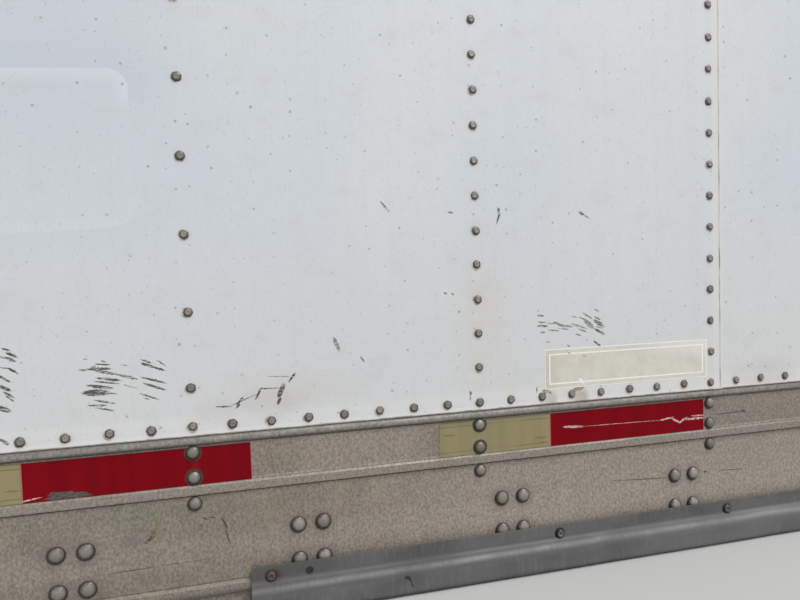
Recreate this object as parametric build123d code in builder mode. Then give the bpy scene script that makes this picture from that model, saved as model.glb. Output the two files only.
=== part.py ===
from build123d import *
import os

os.makedirs("parts", exist_ok=True)

# A full-height piece of a semi trailer's insulated side wall, cut at two of its posts.
# X runs along the wall, +Y goes into the trailer and Z is up, in millimetres.
# The origin is the centre of the bolt holes in the middle crossmember clip.

# Grid along the wall
post_pitch = 406.4
post_count = 5
middle_post_x = -50.8
clip_pitch = 304.8
clip_count = 5

# Floor crossmember that the clips hold, and the clips
crossmember_height = 101.6
crossmember_gap = 0.5
clip_wall = 5.0
clip_plate_width = 64.0
clip_plate_height = 96.0
clip_stem_height = 90.0
clip_reach = 40.0
clip_tail = 30.0
clip_fillet = 4.0
clip_hole_r = 5.5
clip_hole_pitch_y = 30.0
clip_hole_pitch_z = 50.0

# Bottom rail, from the top down: flange behind the skin, bead, band, strip, web, lip and leg
rail_wall = 5.0
band_top = 146.0
bead_lift = 2.8
bead_height = 11.0
bead_rise = 4.8
rail_flange = 45.0
strip_drop = 51.0
strip_height = 13.0
strip_rise = 2.6
lip_drop = 187.0
lip_bevel = 2.5
lip_flat = 4.0
lip_curl = 12.5
lip_rise = 6.5
leg_height = 22.0
leg_setback = 1.5
shelf_wall = 4.5
floor_seat = 26.0
floor_step = 1.5
foot_wall = 4.5
foot_depth = 45.0

# Wall: skin, posts, foam and liner
skin_setback = 0.3
skin_wall = 1.3
skin_gap = 1.0
lap_half = 18.5
lap_ramp = 14.0
seam_post_index = 3
core_depth = 61.0
post_wall = 2.0
post_flange = 40.0
liner_wall = 2.5

# Scuff band along the foot of the liner
scuff_wall = 2.5
scuff_height = 300.0
scuff_ribs = 5
rib_rise = 3.0
rib_width = 14.0
rib_flat = 7.0

# Top rail
wall_top = 2911.0
top_band = 150.0
drip_rise = 5.0
drip_height = 6.0
top_band_rise = 2.0
shoulder_r = 24.0
roof_step = 2.0
roof_step_y = 34.0
roof_plate = 4.0
roof_seat = 27.0
inner_leg = 64.0
inner_leg_wall = 4.0

# Guard bar under the web, and its screw holes: distance of each from the middle clip
bar_wall = 3.0
bar_start = -388.9
bar_drop = 171.3
bar_flange = 22.5
bar_step = 15.0
bar_shoulder = 8.0
bar_face = 33.0
bar_return = 12.0
bar_bend_r = 4.0
screw_drop = 184.5
screw_xs = (-362.4, 73.0, 380.0, 686.8)
spare_hole_x = -310.4
screw_hole_r = 3.4

# Reflective tape: start, end and colour of each strip, from the middle clip
tape_wall = 0.4
tape_height = 50.8
tape_strips = (
    (-840.2, -662.4, "white"),
    (-662.4, -383.0, "red"),
    (-113.6, 64.2, "white"),
    (64.2, 343.6, "red"),
    (613.0, 790.8, "white"),
)

# Holes in the web and in each clip's plate for the crossmember bolts
bolt_pitch_x = 34.5
bolt_pitch_z = 49.5
bolt_hole_r = 5.0

# Planes across the wall, worked out from the clip's bolt centre outwards
plate_in = -clip_reach
web_in = plate_in - clip_wall
face = web_in - rail_wall
skin_in = face + skin_setback
skin_out = skin_in - skin_wall
liner_out = skin_in + core_depth
liner_in = liner_out + liner_wall

# Heights
bead_bottom = band_top + bead_lift
bead_top = bead_bottom + bead_height
flange_top = bead_top + rail_flange
shelf_under = crossmember_height / 2 + crossmember_gap
shelf_top = shelf_under + shelf_wall
foot_top = -crossmember_height / 2 - crossmember_gap
strip_top = band_top - strip_drop
strip_bottom = strip_top - strip_height
lip_top = band_top - lip_drop
lip_nose = lip_top - lip_bevel
lip_bottom = lip_nose - lip_flat - lip_curl
leg_bottom = lip_bottom - leg_height
skin_bottom = bead_top + skin_gap
drip_bottom = wall_top - top_band
skin_top = drip_bottom - skin_gap
top_flange_bottom = drip_bottom - rail_flange
roof_under = wall_top - roof_step - roof_plate
shoulder_z = wall_top - shoulder_r
core_top = shoulder_z - roof_plate

# Places along the wall
post_xs = [middle_post_x + (n - (post_count - 1) / 2) * post_pitch for n in range(post_count)]
clip_xs = [(n - (clip_count - 1) / 2) * clip_pitch for n in range(clip_count)]
wall_start = post_xs[0] - post_flange / 2
wall_end = post_xs[-1] + post_flange / 2
seam_x = post_xs[seam_post_index]
wall_length = wall_end - wall_start

# Height zones of the posts and the foam: low, high, and the plane that they lie against
core_zones = (
    (shelf_top, flange_top, web_in),
    (flange_top, top_flange_bottom, skin_in),
    (top_flange_bottom, core_top, web_in),
)


def save(part, label):
    """Labels a finished piece and writes it to its own file."""
    part.label = label
    export_step(part, f"parts/{label}.step")


def box_sketch(low_x, high_x, low_y, high_y, mode=Mode.ADD):
    """Draws a rectangle in the current sketch from its four edges."""
    with Locations(((low_x + high_x) / 2, (low_y + high_y) / 2)):
        Rectangle(high_x - low_x, high_y - low_y, mode=mode)


# Bottom rail: one extruded profile, drilled for the bolts and screws
screw_z = band_top - screw_drop
screw_places = [(x, screw_z) for x in screw_xs]
scuff_face = liner_in + scuff_wall
shelf_end = scuff_face + floor_seat

with BuildPart() as bottom_rail:
    with BuildSketch(Plane.YZ.offset(wall_start)):
        with BuildLine():
            bead = ThreePointArc(
                (skin_out, bead_top),
                (face - bead_rise, bead_bottom + bead_height / 2),
                (face, bead_bottom),
            )
            Polyline(
                bead @ 1,
                (face, strip_top),
                (face - strip_rise, strip_top - strip_rise),
                (face - strip_rise, strip_bottom),
                (face, strip_bottom),
                (face, lip_top),
                (face - lip_rise, lip_nose),
                (face - lip_rise, lip_nose - lip_flat),
            )
            curl = ThreePointArc(
                (face - lip_rise, lip_nose - lip_flat),
                (face - lip_rise * 0.66, lip_bottom + lip_curl * 0.38),
                (face + leg_setback, lip_bottom),
            )
            Polyline(
                curl @ 1,
                (face + leg_setback, leg_bottom),
                (web_in, leg_bottom),
                (web_in, foot_top - foot_wall),
                (face + foot_depth, foot_top - foot_wall),
                (face + foot_depth, foot_top),
                (web_in, foot_top),
                (web_in, shelf_under),
                (shelf_end, shelf_under),
                (shelf_end, shelf_top - floor_step),
                (scuff_face, shelf_top - floor_step),
                (scuff_face, shelf_top),
                (web_in, shelf_top),
                (web_in, flange_top),
                (skin_in, flange_top),
                (skin_in, bead_top),
                bead @ 0,
            )
        make_face()
    extrude(amount=wall_length)
    with BuildSketch(Plane.XZ.offset(-web_in)):
        for x in clip_xs:
            with Locations((x, 0)), GridLocations(bolt_pitch_x, bolt_pitch_z, 2, 2):
                Circle(bolt_hole_r)
    extrude(amount=rail_wall, mode=Mode.SUBTRACT)
    with BuildSketch(Plane.XZ.offset(-web_in)):
        with Locations(*screw_places):
            Circle(screw_hole_r)
    extrude(amount=rail_wall + lip_rise, mode=Mode.SUBTRACT)
save(bottom_rail.part, "bottom_rail")

# Top rail: drip edge, band, shoulder, hollow chamber and roof flange in one extruded profile
roof_end = liner_in + inner_leg_wall + roof_seat
band_face = face - top_band_rise
shoulder_y = band_face + shoulder_r
with BuildPart() as top_rail:
    with BuildSketch(Plane.YZ.offset(wall_start)):
        with BuildLine():
            shoulder_mid = shoulder_r * (1 - 0.5**0.5)
            shoulder = ThreePointArc(
                (band_face, shoulder_z),
                (band_face + shoulder_mid, wall_top - shoulder_mid),
                (shoulder_y, wall_top),
            )
            Polyline(
                shoulder @ 1,
                (face + roof_step_y, wall_top),
                (face + roof_step_y, wall_top - roof_step),
                (roof_end, wall_top - roof_step),
                (roof_end, roof_under),
                (liner_in + inner_leg_wall, roof_under),
                (liner_in + inner_leg_wall, roof_under - inner_leg),
                (liner_in, roof_under - inner_leg),
                (liner_in, core_top),
                (web_in, core_top),
                (web_in, top_flange_bottom),
                (skin_in, top_flange_bottom),
                (skin_in, drip_bottom),
                (face - drip_rise, drip_bottom),
                (face - drip_rise, drip_bottom + drip_height),
                (band_face, drip_bottom + drip_height + drip_rise - top_band_rise),
                shoulder @ 0,
            )
        make_face()
        with BuildLine():
            chamber_mid = (shoulder_y - web_in) * 0.5**0.5
            corner = ThreePointArc(
                (web_in, shoulder_z),
                (shoulder_y - chamber_mid, shoulder_z + chamber_mid),
                (shoulder_y, roof_under),
            )
            Polyline(corner @ 1, (liner_in, roof_under), (liner_in, shoulder_z), corner @ 0)
        make_face(mode=Mode.SUBTRACT)
    extrude(amount=wall_length)
save(top_rail.part, "top_rail")

# Posts: channels whose outer flange steps in behind each rail
for number, x in enumerate(post_xs, 1):
    flange_start, flange_end = x - post_flange / 2, x + post_flange / 2
    with BuildPart() as post:
        for low, high, front in core_zones:
            with BuildSketch(Plane.XY.offset(low)):
                box_sketch(flange_start, flange_end, front, liner_out)
                box_sketch(
                    flange_start + post_wall,
                    flange_end,
                    front + post_wall,
                    liner_out - post_wall,
                    Mode.SUBTRACT,
                )
            extrude(amount=high - low)
    save(post.part, f"post_{number}")

# Foam: one block for each bay, from one post's web to the next
bay_ends = [x - post_flange / 2 for x in post_xs[1:]] + [wall_end]
for number, (x, bay_end) in enumerate(zip(post_xs, bay_ends), 1):
    bay_start = x - post_flange / 2 + post_wall
    flange_end = x + post_flange / 2
    with BuildPart() as foam:
        for low, high, front in core_zones:
            with BuildSketch(Plane.XY.offset(low)):
                box_sketch(bay_start, bay_end, front, liner_out)
                box_sketch(bay_start, flange_end, front, front + post_wall, Mode.SUBTRACT)
                box_sketch(bay_start, flange_end, liner_out - post_wall, liner_out, Mode.SUBTRACT)
            extrude(amount=high - low)
    save(foam.part, f"foam_{number}")

# Skin: the long sheet laps over the next one at the seam post
skin_height = skin_top - skin_bottom
lap_start = seam_x - lap_half
lap_end = seam_x + lap_half
ramp_start = lap_start - skin_gap - lap_ramp
with BuildPart() as skin_long:
    with BuildSketch(Plane.XY.offset(skin_bottom)):
        with BuildLine():
            Polyline(
                (post_xs[0] - lap_half, skin_in),
                (ramp_start, skin_in),
                (ramp_start + lap_ramp, skin_out),
                (lap_end, skin_out),
                (lap_end, skin_out - skin_wall),
                (ramp_start + lap_ramp, skin_out - skin_wall),
                (ramp_start, skin_out),
                (post_xs[0] - lap_half, skin_out),
                close=True,
            )
        make_face()
    extrude(amount=skin_height)
save(skin_long.part, "skin_long")

with BuildPart() as skin_short:
    with BuildSketch(Plane.XY.offset(skin_bottom)):
        box_sketch(lap_start, wall_end, skin_out, skin_in)
    extrude(amount=skin_height)
save(skin_short.part, "skin_short")

# Liner on the inside, from the shelf to the top rail
with BuildPart() as liner:
    with BuildSketch(Plane.XY.offset(shelf_top)):
        box_sketch(wall_start, wall_end, liner_out, liner_in)
    extrude(amount=core_top - shelf_top)
save(liner.part, "liner")

# Scuff band: a strip with raised ribs along it
rib_pitch = scuff_height / scuff_ribs
with BuildPart() as scuff_band:
    with BuildSketch(Plane.YZ.offset(wall_start)):
        box_sketch(liner_in, scuff_face, shelf_top, shelf_top + scuff_height)
        for n in range(scuff_ribs):
            rib_z = shelf_top + (n + 0.5) * rib_pitch
            with BuildLine():
                Polyline(
                    (scuff_face, rib_z - rib_width / 2),
                    (scuff_face + rib_rise, rib_z - rib_flat / 2),
                    (scuff_face + rib_rise, rib_z + rib_flat / 2),
                    (scuff_face, rib_z + rib_width / 2),
                    close=True,
                )
            make_face()
    extrude(amount=wall_length)
save(scuff_band.part, "scuff_band")

# Crossmember clips: a plate bolted to the web, and a drilled stem for the crossmember
for number, x in enumerate(clip_xs, 1):
    with BuildPart() as clip:
        with BuildSketch(Plane.XZ.offset(-web_in)):
            with Locations((x, 0)):
                Rectangle(clip_plate_width, clip_plate_height)
                with GridLocations(bolt_pitch_x, bolt_pitch_z, 2, 2):
                    Circle(bolt_hole_r, mode=Mode.SUBTRACT)
        extrude(amount=-clip_wall)
        with BuildSketch(Plane.YZ.offset(x - clip_wall / 2)):
            box_sketch(plate_in, clip_tail, -clip_stem_height / 2, clip_stem_height / 2)
            with GridLocations(clip_hole_pitch_y, clip_hole_pitch_z, 2, 2):
                Circle(clip_hole_r, mode=Mode.SUBTRACT)
        extrude(amount=clip_wall)
        roots = clip.edges().filter_by(Axis.Z).filter_by(
            lambda edge: abs(edge.center().Y - plate_in) < 0.01
            and abs(abs(edge.center().X - x) - clip_wall / 2) < 0.01
        )
        fillet(roots, clip_fillet)
    save(clip.part, f"clip_{number}")

# Guard bar: a rolled strip that bears on the lip, steps out and turns under
bar_in = face - lip_rise
bar_top = band_top - bar_drop
bar_bend = bar_top - bar_flange
bar_out = bar_in - bar_step
with BuildPart() as guard_bar:
    with BuildSketch(Plane.YZ.offset(bar_start)):
        with BuildLine():
            FilletPolyline(
                (bar_in, bar_top),
                (bar_in, bar_bend),
                (bar_out, bar_bend - bar_shoulder),
                (bar_out, bar_bend - bar_shoulder - bar_face),
                (bar_out + bar_return, bar_bend - bar_shoulder - bar_face),
                radius=bar_bend_r,
            )
            offset(amount=bar_wall, side=Side.RIGHT)
        make_face()
    extrude(amount=wall_end - bar_start)
    with BuildSketch(Plane.XZ.offset(-bar_in)):
        with Locations(*screw_places, (spare_hole_x, screw_z)):
            Circle(screw_hole_r)
    extrude(amount=bar_wall, mode=Mode.SUBTRACT)
save(guard_bar.part, "guard_bar")

# Tape strips on the band
for number, (start, end, colour) in enumerate(tape_strips, 1):
    with BuildPart() as tape:
        with BuildSketch(Plane.XZ.offset(-face)):
            box_sketch(start, min(end, wall_end), band_top - tape_height, band_top)
        extrude(amount=tape_wall)
    save(tape.part, f"tape_{colour}_{number}")
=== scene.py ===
import math
import random

import bmesh
import bpy
from bpy.props import FloatProperty, FloatVectorProperty, IntProperty, PointerProperty
from mathutils import Matrix, Vector, noise


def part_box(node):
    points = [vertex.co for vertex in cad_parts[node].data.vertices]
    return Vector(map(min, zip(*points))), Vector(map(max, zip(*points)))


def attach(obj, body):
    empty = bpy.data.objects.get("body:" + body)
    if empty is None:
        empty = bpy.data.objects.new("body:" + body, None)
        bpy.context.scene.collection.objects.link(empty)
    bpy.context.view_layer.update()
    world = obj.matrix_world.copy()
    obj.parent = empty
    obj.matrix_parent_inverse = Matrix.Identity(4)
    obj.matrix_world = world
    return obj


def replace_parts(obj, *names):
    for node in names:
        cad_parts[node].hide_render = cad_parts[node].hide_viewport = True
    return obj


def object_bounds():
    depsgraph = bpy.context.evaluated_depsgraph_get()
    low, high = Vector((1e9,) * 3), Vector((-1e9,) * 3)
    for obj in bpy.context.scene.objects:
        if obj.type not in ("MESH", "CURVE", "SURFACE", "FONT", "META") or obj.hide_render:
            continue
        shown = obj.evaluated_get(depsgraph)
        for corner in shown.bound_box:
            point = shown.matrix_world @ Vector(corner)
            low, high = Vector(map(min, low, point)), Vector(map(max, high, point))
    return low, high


bl_info = {
    "name": "Trailer Side Wall Section",
    "version": (1, 0, 0),
    "blender": (4, 5, 0),
    "location": "3D View > Sidebar > Side Wall",
    "description": "Rivets, bolts, formed sheets and weathered finishes of a trailer's side wall section",
    "category": "Object",
}

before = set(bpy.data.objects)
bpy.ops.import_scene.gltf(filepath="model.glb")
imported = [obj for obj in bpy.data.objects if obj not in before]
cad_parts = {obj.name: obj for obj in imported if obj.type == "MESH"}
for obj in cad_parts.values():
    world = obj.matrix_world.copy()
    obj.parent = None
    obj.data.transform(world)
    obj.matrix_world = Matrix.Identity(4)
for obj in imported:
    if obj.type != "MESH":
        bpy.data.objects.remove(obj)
CAD_LOW, CAD_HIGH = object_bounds()

# Lengths are metres, and MM turns a size in millimetres into metres
MM = 0.001

# Places read from the frame
POST_COUNT = 5
CLIP_COUNT = 5


def middle(node):
    """The middle of a node's box."""
    low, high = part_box(node)
    return (low + high) / 2


POST_XS = [middle(f"post_{number}").x for number in range(1, POST_COUNT + 1)]
CLIP_XS = [middle(f"clip_{number}").x for number in range(1, CLIP_COUNT + 1)]
LONG_LOW, LONG_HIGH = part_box("skin_long")
SHORT_LOW, SHORT_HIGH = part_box("skin_short")
TAPE_LOW, TAPE_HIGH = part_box("tape_red_2")
SCUFF_LOW, SCUFF_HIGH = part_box("scuff_band")
BAR_LOW, BAR_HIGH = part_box("guard_bar")
LINER_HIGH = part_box("liner")[1]
PLATE_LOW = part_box("clip_3")[0]
SHEET_FRONT, SHEET_BACK = SHORT_LOW.y, SHORT_HIGH.y
SHEET_WALL = SHEET_BACK - SHEET_FRONT
SHEET_FOOT, SHEET_TOP = SHORT_LOW.z, SHORT_HIGH.z
RAIL_FACE = TAPE_HIGH.y
BAND_TOP = TAPE_HIGH.z
WALL_START, WALL_END = CAD_LOW.x, CAD_HIGH.x
SEAM_X = POST_XS[3]
LAP_END = LONG_HIGH.x
RAMP_END = SHORT_LOW.x - 1.0 * MM
RAMP_START = RAMP_END - 14.0 * MM

# Fastener places that the wall's own pieces share
RIVET_PITCH = 50.8 * MM
RIVET_SHIFT = 1.4 * MM
ROW_SETBACK = 12.8 * MM
BOTTOM_ROW, TOP_ROW = SHEET_FOOT + ROW_SETBACK, SHEET_TOP - ROW_SETBACK
COLUMN_START = 225.0 * MM
WIDE_COLUMNS = (POST_XS[1], POST_XS[4])
POST_PITCH = POST_XS[1] - POST_XS[0]
POST_BOLT_DROPS = (6.8 * MM, 40.3 * MM, 75.3 * MM)
POST_BOLTS = [(x, BAND_TOP - drop) for x in POST_XS for drop in POST_BOLT_DROPS]
CLIP_PITCH = CLIP_XS[1] - CLIP_XS[0]
CLIP_CORNERS = [(x * MM, z * MM) for x in (-17.25, 17.25) for z in (-24.75, 24.75)]
CLIP_BOLTS = [(x + corner_x, corner_z) for x in CLIP_XS for corner_x, corner_z in CLIP_CORNERS]
SCREW_XS = (-362.4 * MM, 73.0 * MM, 380.0 * MM, 686.8 * MM)
SPARE_HOLE_X = -310.4 * MM
SCREW_Z = -38.5 * MM
SEAT = 0.1 * MM

# Thicknesses of the solids
BAR_WALL = 3.0 * MM
CLIP_WALL = 5.0 * MM
BAND_WALL = 2.4 * MM


def shade(red, green, blue):
    """A colour written as it looks on screen, from 0 to 255, in the shader's own scale."""
    linear = []
    for part in (red, green, blue):
        part /= 255
        linear.append(part / 12.92 if part <= 0.04045 else ((part + 0.055) / 1.055) ** 2.4)
    return (*linear, 1.0)


def tinted(tone, *factors):
    """A colour times one factor, or times one factor each for red, green and blue."""
    return (*(part * factor for part, factor in zip(tone[:3], 3 * factors)), 1.0)


def length(name, description, default):
    """A length that a user can change, in metres."""
    return FloatProperty(name=name, description=description, default=default, unit="LENGTH", precision=4)


def colour(name, description, default):
    """A colour that a user can change."""
    return FloatVectorProperty(
        name=name, description=description, default=default, subtype="COLOR", size=4, min=0.0, max=1.0
    )


class SideWallSheets(bpy.types.PropertyGroup):
    """Sizes and colours of the outer sheets."""

    grid: length("Grid", "Spacing of the sheets' mesh", RIVET_PITCH / 6)
    fine_grid: length("Fine grid", "Height of the mesh's rows beside the bottom rivets", RIVET_PITCH / 8)
    coarse_grid: length("Coarse grid", "Height of the mesh's rows above them", RIVET_PITCH / 4)
    bay_bulge: length("Bay bulge", "How far a bay stands out between its posts", 1.1 * MM)
    pillow: length("Pillow", "How far the sheet stands out between two rivets", 0.42 * MM)
    dimple: length("Dimple", "How deep a rivet pulls the sheet in", 0.16 * MM)
    paint: colour("Paint", "White enamel", shade(208, 212, 214))
    scuff: colour("Scuff", "Rubbed marks down to the primer", shade(66, 61, 57))


class SideWallFasteners(bpy.types.PropertyGroup):
    """Sizes of the rivets, bolts and screws."""

    rivet_radius: length("Rivet radius", "Skin rivet's head", 6.3 * MM)
    rivet_height: length("Rivet height", "Skin rivet's head", 2.6 * MM)
    bolt_radius: length("Bolt radius", "Crossmember bolt's head", 10.75 * MM)
    bolt_height: length("Bolt height", "Crossmember bolt's head", 5.6 * MM)
    collar_radius: length("Collar radius", "Collar on a crossmember bolt's inner end", 8.4 * MM)
    collar_height: length("Collar height", "Collar with the bolt's tail", 12.0 * MM)
    post_bolt_radius: length("Post bolt radius", "Head of a bolt through a post", 9.0 * MM)
    post_bolt_height: length("Post bolt height", "Head of a bolt through a post", 5.4 * MM)
    screw_radius: length("Screw radius", "Guard bar screw's head", 7.4 * MM)
    screw_height: length("Screw height", "Guard bar screw's head", 3.8 * MM)
    liner_rivet_radius: length("Liner rivet radius", "Head of a rivet through the liner", 7.0 * MM)
    liner_rivet_height: length("Liner rivet height", "Head of a rivet through the liner", 2.0 * MM)
    seed: IntProperty(name="Seed", description="Fixed seed of all small variations", default=7)


class SideWallMetal(bpy.types.PropertyGroup):
    """Colours of the rails, the bar and the tape."""

    aluminium: colour("Aluminium", "Weathered mill finish", shade(141, 132, 123))
    galvanised: colour("Galvanised", "Dull zinc of the guard bar", shade(101, 101, 102))
    red: colour("Red tape", "Reflective red", shade(117, 8, 20))
    white: colour("White tape", "Yellowed reflective white", shade(138, 130, 96))
    placard: colour("Placard", "Faded film of the bare placard", shade(208, 205, 196))
    placard_line: colour("Placard line", "Border lines of the bare placard", shade(238, 236, 229))


class SideWallStage(bpy.types.PropertyGroup):
    """Floor, lamps and camera."""

    floor: colour("Floor", "Plain pale floor", shade(172, 172, 171))
    floor_bounce: colour("Floor bounce", "What the floor sends back onto the wall", shade(128, 126, 124))
    key: FloatProperty(name="Key", description="Strength of the lamp in front", default=3.1)
    back: FloatProperty(name="Back", description="Strength of the lamp behind", default=2.2)
    sky: FloatProperty(name="Sky", description="Strength of the even light", default=0.62)


class Paint:
    """One material's nodes and its colour so far. Places in it are millimetres in the part's frame."""

    def __init__(self, name, metallic=0.0):
        self.material = bpy.data.materials.new(name)
        self.material.use_nodes = True
        self.tree = self.material.node_tree
        self.shader = self.tree.nodes["Principled BSDF"]
        self.shader.inputs["Metallic"].default_value = metallic
        self.place = self.scaled(self.add("ShaderNodeTexCoord").outputs["Object"], 1 / MM)
        self.x, self.y, self.z = self.add("ShaderNodeSeparateXYZ", self.place).outputs
        self.wall = self.point(self.x, self.z)
        self.base = None

    def add(self, kind, *values, **settings):
        """Adds a node, with its settings and its inputs in order."""
        node = self.tree.nodes.new(kind)
        for name, value in settings.items():
            setattr(node, name, value)
        for socket, value in zip(node.inputs, values):
            self.put(socket, value)
        return node

    def put(self, socket, value):
        """Links a node's output to an input, or writes a plain value there."""
        if isinstance(value, bpy.types.NodeSocket):
            self.tree.links.new(value, socket)
        else:
            socket.default_value = value

    def math(self, operation, *values):
        """One step of sums on single values."""
        return self.add("ShaderNodeMath", *values, operation=operation).outputs[0]

    def times(self, first, *others):
        """The product of masks and shares."""
        for other in others:
            first = self.math("MULTIPLY", first, other)
        return first

    def vector(self, operation, *values):
        """One step of sums on places."""
        node = self.add("ShaderNodeVectorMath", *values, operation=operation)
        return node.outputs["Value" if operation == "LENGTH" else "Vector"]

    def scaled(self, place, factor):
        """A place times one factor."""
        node = self.add("ShaderNodeVectorMath", place, operation="SCALE")
        node.inputs["Scale"].default_value = factor
        return node.outputs["Vector"]

    def point(self, across, up):
        """A flat place on the wall."""
        return self.add("ShaderNodeCombineXYZ", across, up, 0.0).outputs[0]

    def spread(self, value, low, high, start=0.0, end=1.0):
        """Goes smoothly from start to end as the value goes from low to high."""
        node = self.add("ShaderNodeMapRange", value, low, high, start, end, interpolation_type="SMOOTHSTEP")
        return node.outputs[0]

    def zone(self, value, low, high, soft):
        """1 between low and high, and 0 outside, with soft edges."""
        rising = self.spread(value, low - soft, low + soft)
        return self.times(rising, self.spread(value, high - soft, high + soft, 1.0, 0.0))

    def wavy(self, value, waves, reach):
        """A value that noise moves up and down over the reach."""
        return self.math("ADD", value, self.math("MULTIPLY_ADD", waves, reach, -reach / 2))

    def texture(self, kind, place, **settings):
        """Adds a texture that is read at that place."""
        node = self.add(kind, **settings)
        self.put(node.inputs["Vector"], place)
        node.inputs["Scale"].default_value = 1.0
        return node

    def noise(self, size, along=(1.0, 1.0, 1.0), detail=3.0, rough=0.5, shift=0.0, coloured=False):
        """Noise whose features are about size millimetres, longer where along is under 1."""
        stretched = self.vector("MULTIPLY", self.place, [part / size for part in along])
        node = self.texture("ShaderNodeTexNoise", self.vector("ADD", stretched, (shift, shift, shift)))
        node.inputs["Detail"].default_value = detail
        node.inputs["Roughness"].default_value = rough
        return node.outputs["Color" if coloured else "Fac"]

    def specks(self, size, largest, shift=0.0, smallest=0.2):
        """Round specks of mixed sizes, one at most in each cell of size millimetres."""
        place = self.vector("ADD", self.scaled(self.wall, 1 / size), (shift, shift, 0.0))
        node = self.texture("ShaderNodeTexVoronoi", place, voronoi_dimensions="2D")
        chance = self.add("ShaderNodeSeparateColor", node.outputs["Color"]).outputs
        radius = self.math("MULTIPLY_ADD", self.math("POWER", chance[0], 4.0), largest, smallest)
        inside = self.math("SUBTRACT", radius, self.times(node.outputs["Distance"], size))
        return self.times(self.spread(inside, -0.25, 0.35), self.math("MULTIPLY_ADD", chance[1], 0.7, 0.3))

    def mix(self, factor, first, second, blend="MIX"):
        """The first colour turning into the second."""
        node = self.add("ShaderNodeMix", data_type="RGBA", blend_type=blend)
        for socket, value in (("Factor", factor), ("A", first), ("B", second)):
            self.put(node.inputs[socket], value)
        return node.outputs["Result"]

    def lay(self, tone, mask, share=1.0):
        """Lays a tone over the colour so far, as far as the mask and the share say. A tone of three
        numbers is a colour as it looks on screen."""
        if isinstance(tone, tuple) and len(tone) == 3:
            tone = shade(*tone)
        self.base = self.mix(mask if share == 1.0 else self.times(mask, share), self.base, tone)

    def most(self, masks, operation="MAXIMUM"):
        """The strongest of several masks at each place."""
        result = masks[0]
        for mask in masks[1:]:
            result = self.math(operation, result, mask)
        return result

    def least(self, values):
        """The smallest of several values at each place."""
        return self.most(values, "MINIMUM")

    def ragged(self, size, reach):
        """Places on the wall pushed about by noise, which makes the edges of marks uneven."""
        push = self.vector("SUBTRACT", self.noise(size, coloured=True), (0.5, 0.5, 0.5))
        return self.vector("ADD", self.wall, self.vector("MULTIPLY", push, (reach, reach, 0.0)))

    def strokes(self, place, rows):
        """Marks from rows of start x, start z, end x, end z and width, thin at their ends."""
        lengths = []
        for start_x, start_z, end_x, end_z, width in rows:
            along, up = end_x - start_x, end_z - start_z
            node = self.add("ShaderNodeMapping", place, vector_type="TEXTURE")
            node.inputs["Location"].default_value = ((start_x + end_x) / 2, (start_z + end_z) / 2, 0.0)
            node.inputs["Rotation"].default_value = (0.0, 0.0, math.atan2(up, along))
            node.inputs["Scale"].default_value = ((math.hypot(along, up) + width) / 2, width / 2, 1.0)
            lengths.append(self.vector("LENGTH", node.outputs[0]))
        return self.spread(self.least(lengths), 0.8, 1.2, 1.0, 0.0)

    def blots(self, rows, core=0.0):
        """Soft oval stains from rows of middle x, middle z, reach along, reach up and share. The core is
        the share of the reach over which they are full."""
        masks = []
        for x, z, wide, high, share in rows:
            offset = self.vector("SUBTRACT", self.wall, (x, z, 0.0))
            away = self.vector("LENGTH", self.vector("MULTIPLY", offset, (1 / wide, 1 / high, 0.0)))
            masks.append(self.spread(away, core, 1.0, share, 0.0))
        return self.most(masks)

    def ring(self, x, z, pitch_x=None, pitch_z=None):
        """How far a place is from a point, or from the nearest point of a row or grid of them."""
        across = self.math("SUBTRACT", self.x, x)
        up = self.math("SUBTRACT", self.z, z)
        if pitch_x:
            across = self.math("WRAP", across, pitch_x / 2, -pitch_x / 2)
        if pitch_z:
            up = self.math("WRAP", up, pitch_z / 2, -pitch_z / 2)
        return self.vector("LENGTH", self.point(across, up))

    def finish(self, cloud, roughness, height, depth):
        """Sets the colour, the roughness' range over a cloud and a bump of that depth in millimetres."""
        self.put(self.shader.inputs["Base Color"], self.base)
        self.put(self.shader.inputs["Roughness"], self.spread(cloud, 0.3, 0.7, *roughness))
        bump = self.add("ShaderNodeBump")
        bump.inputs["Distance"].default_value = depth * MM
        self.put(bump.inputs["Height"], height)
        self.put(self.shader.inputs["Normal"], bump.outputs[0])
        return self.material


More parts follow.
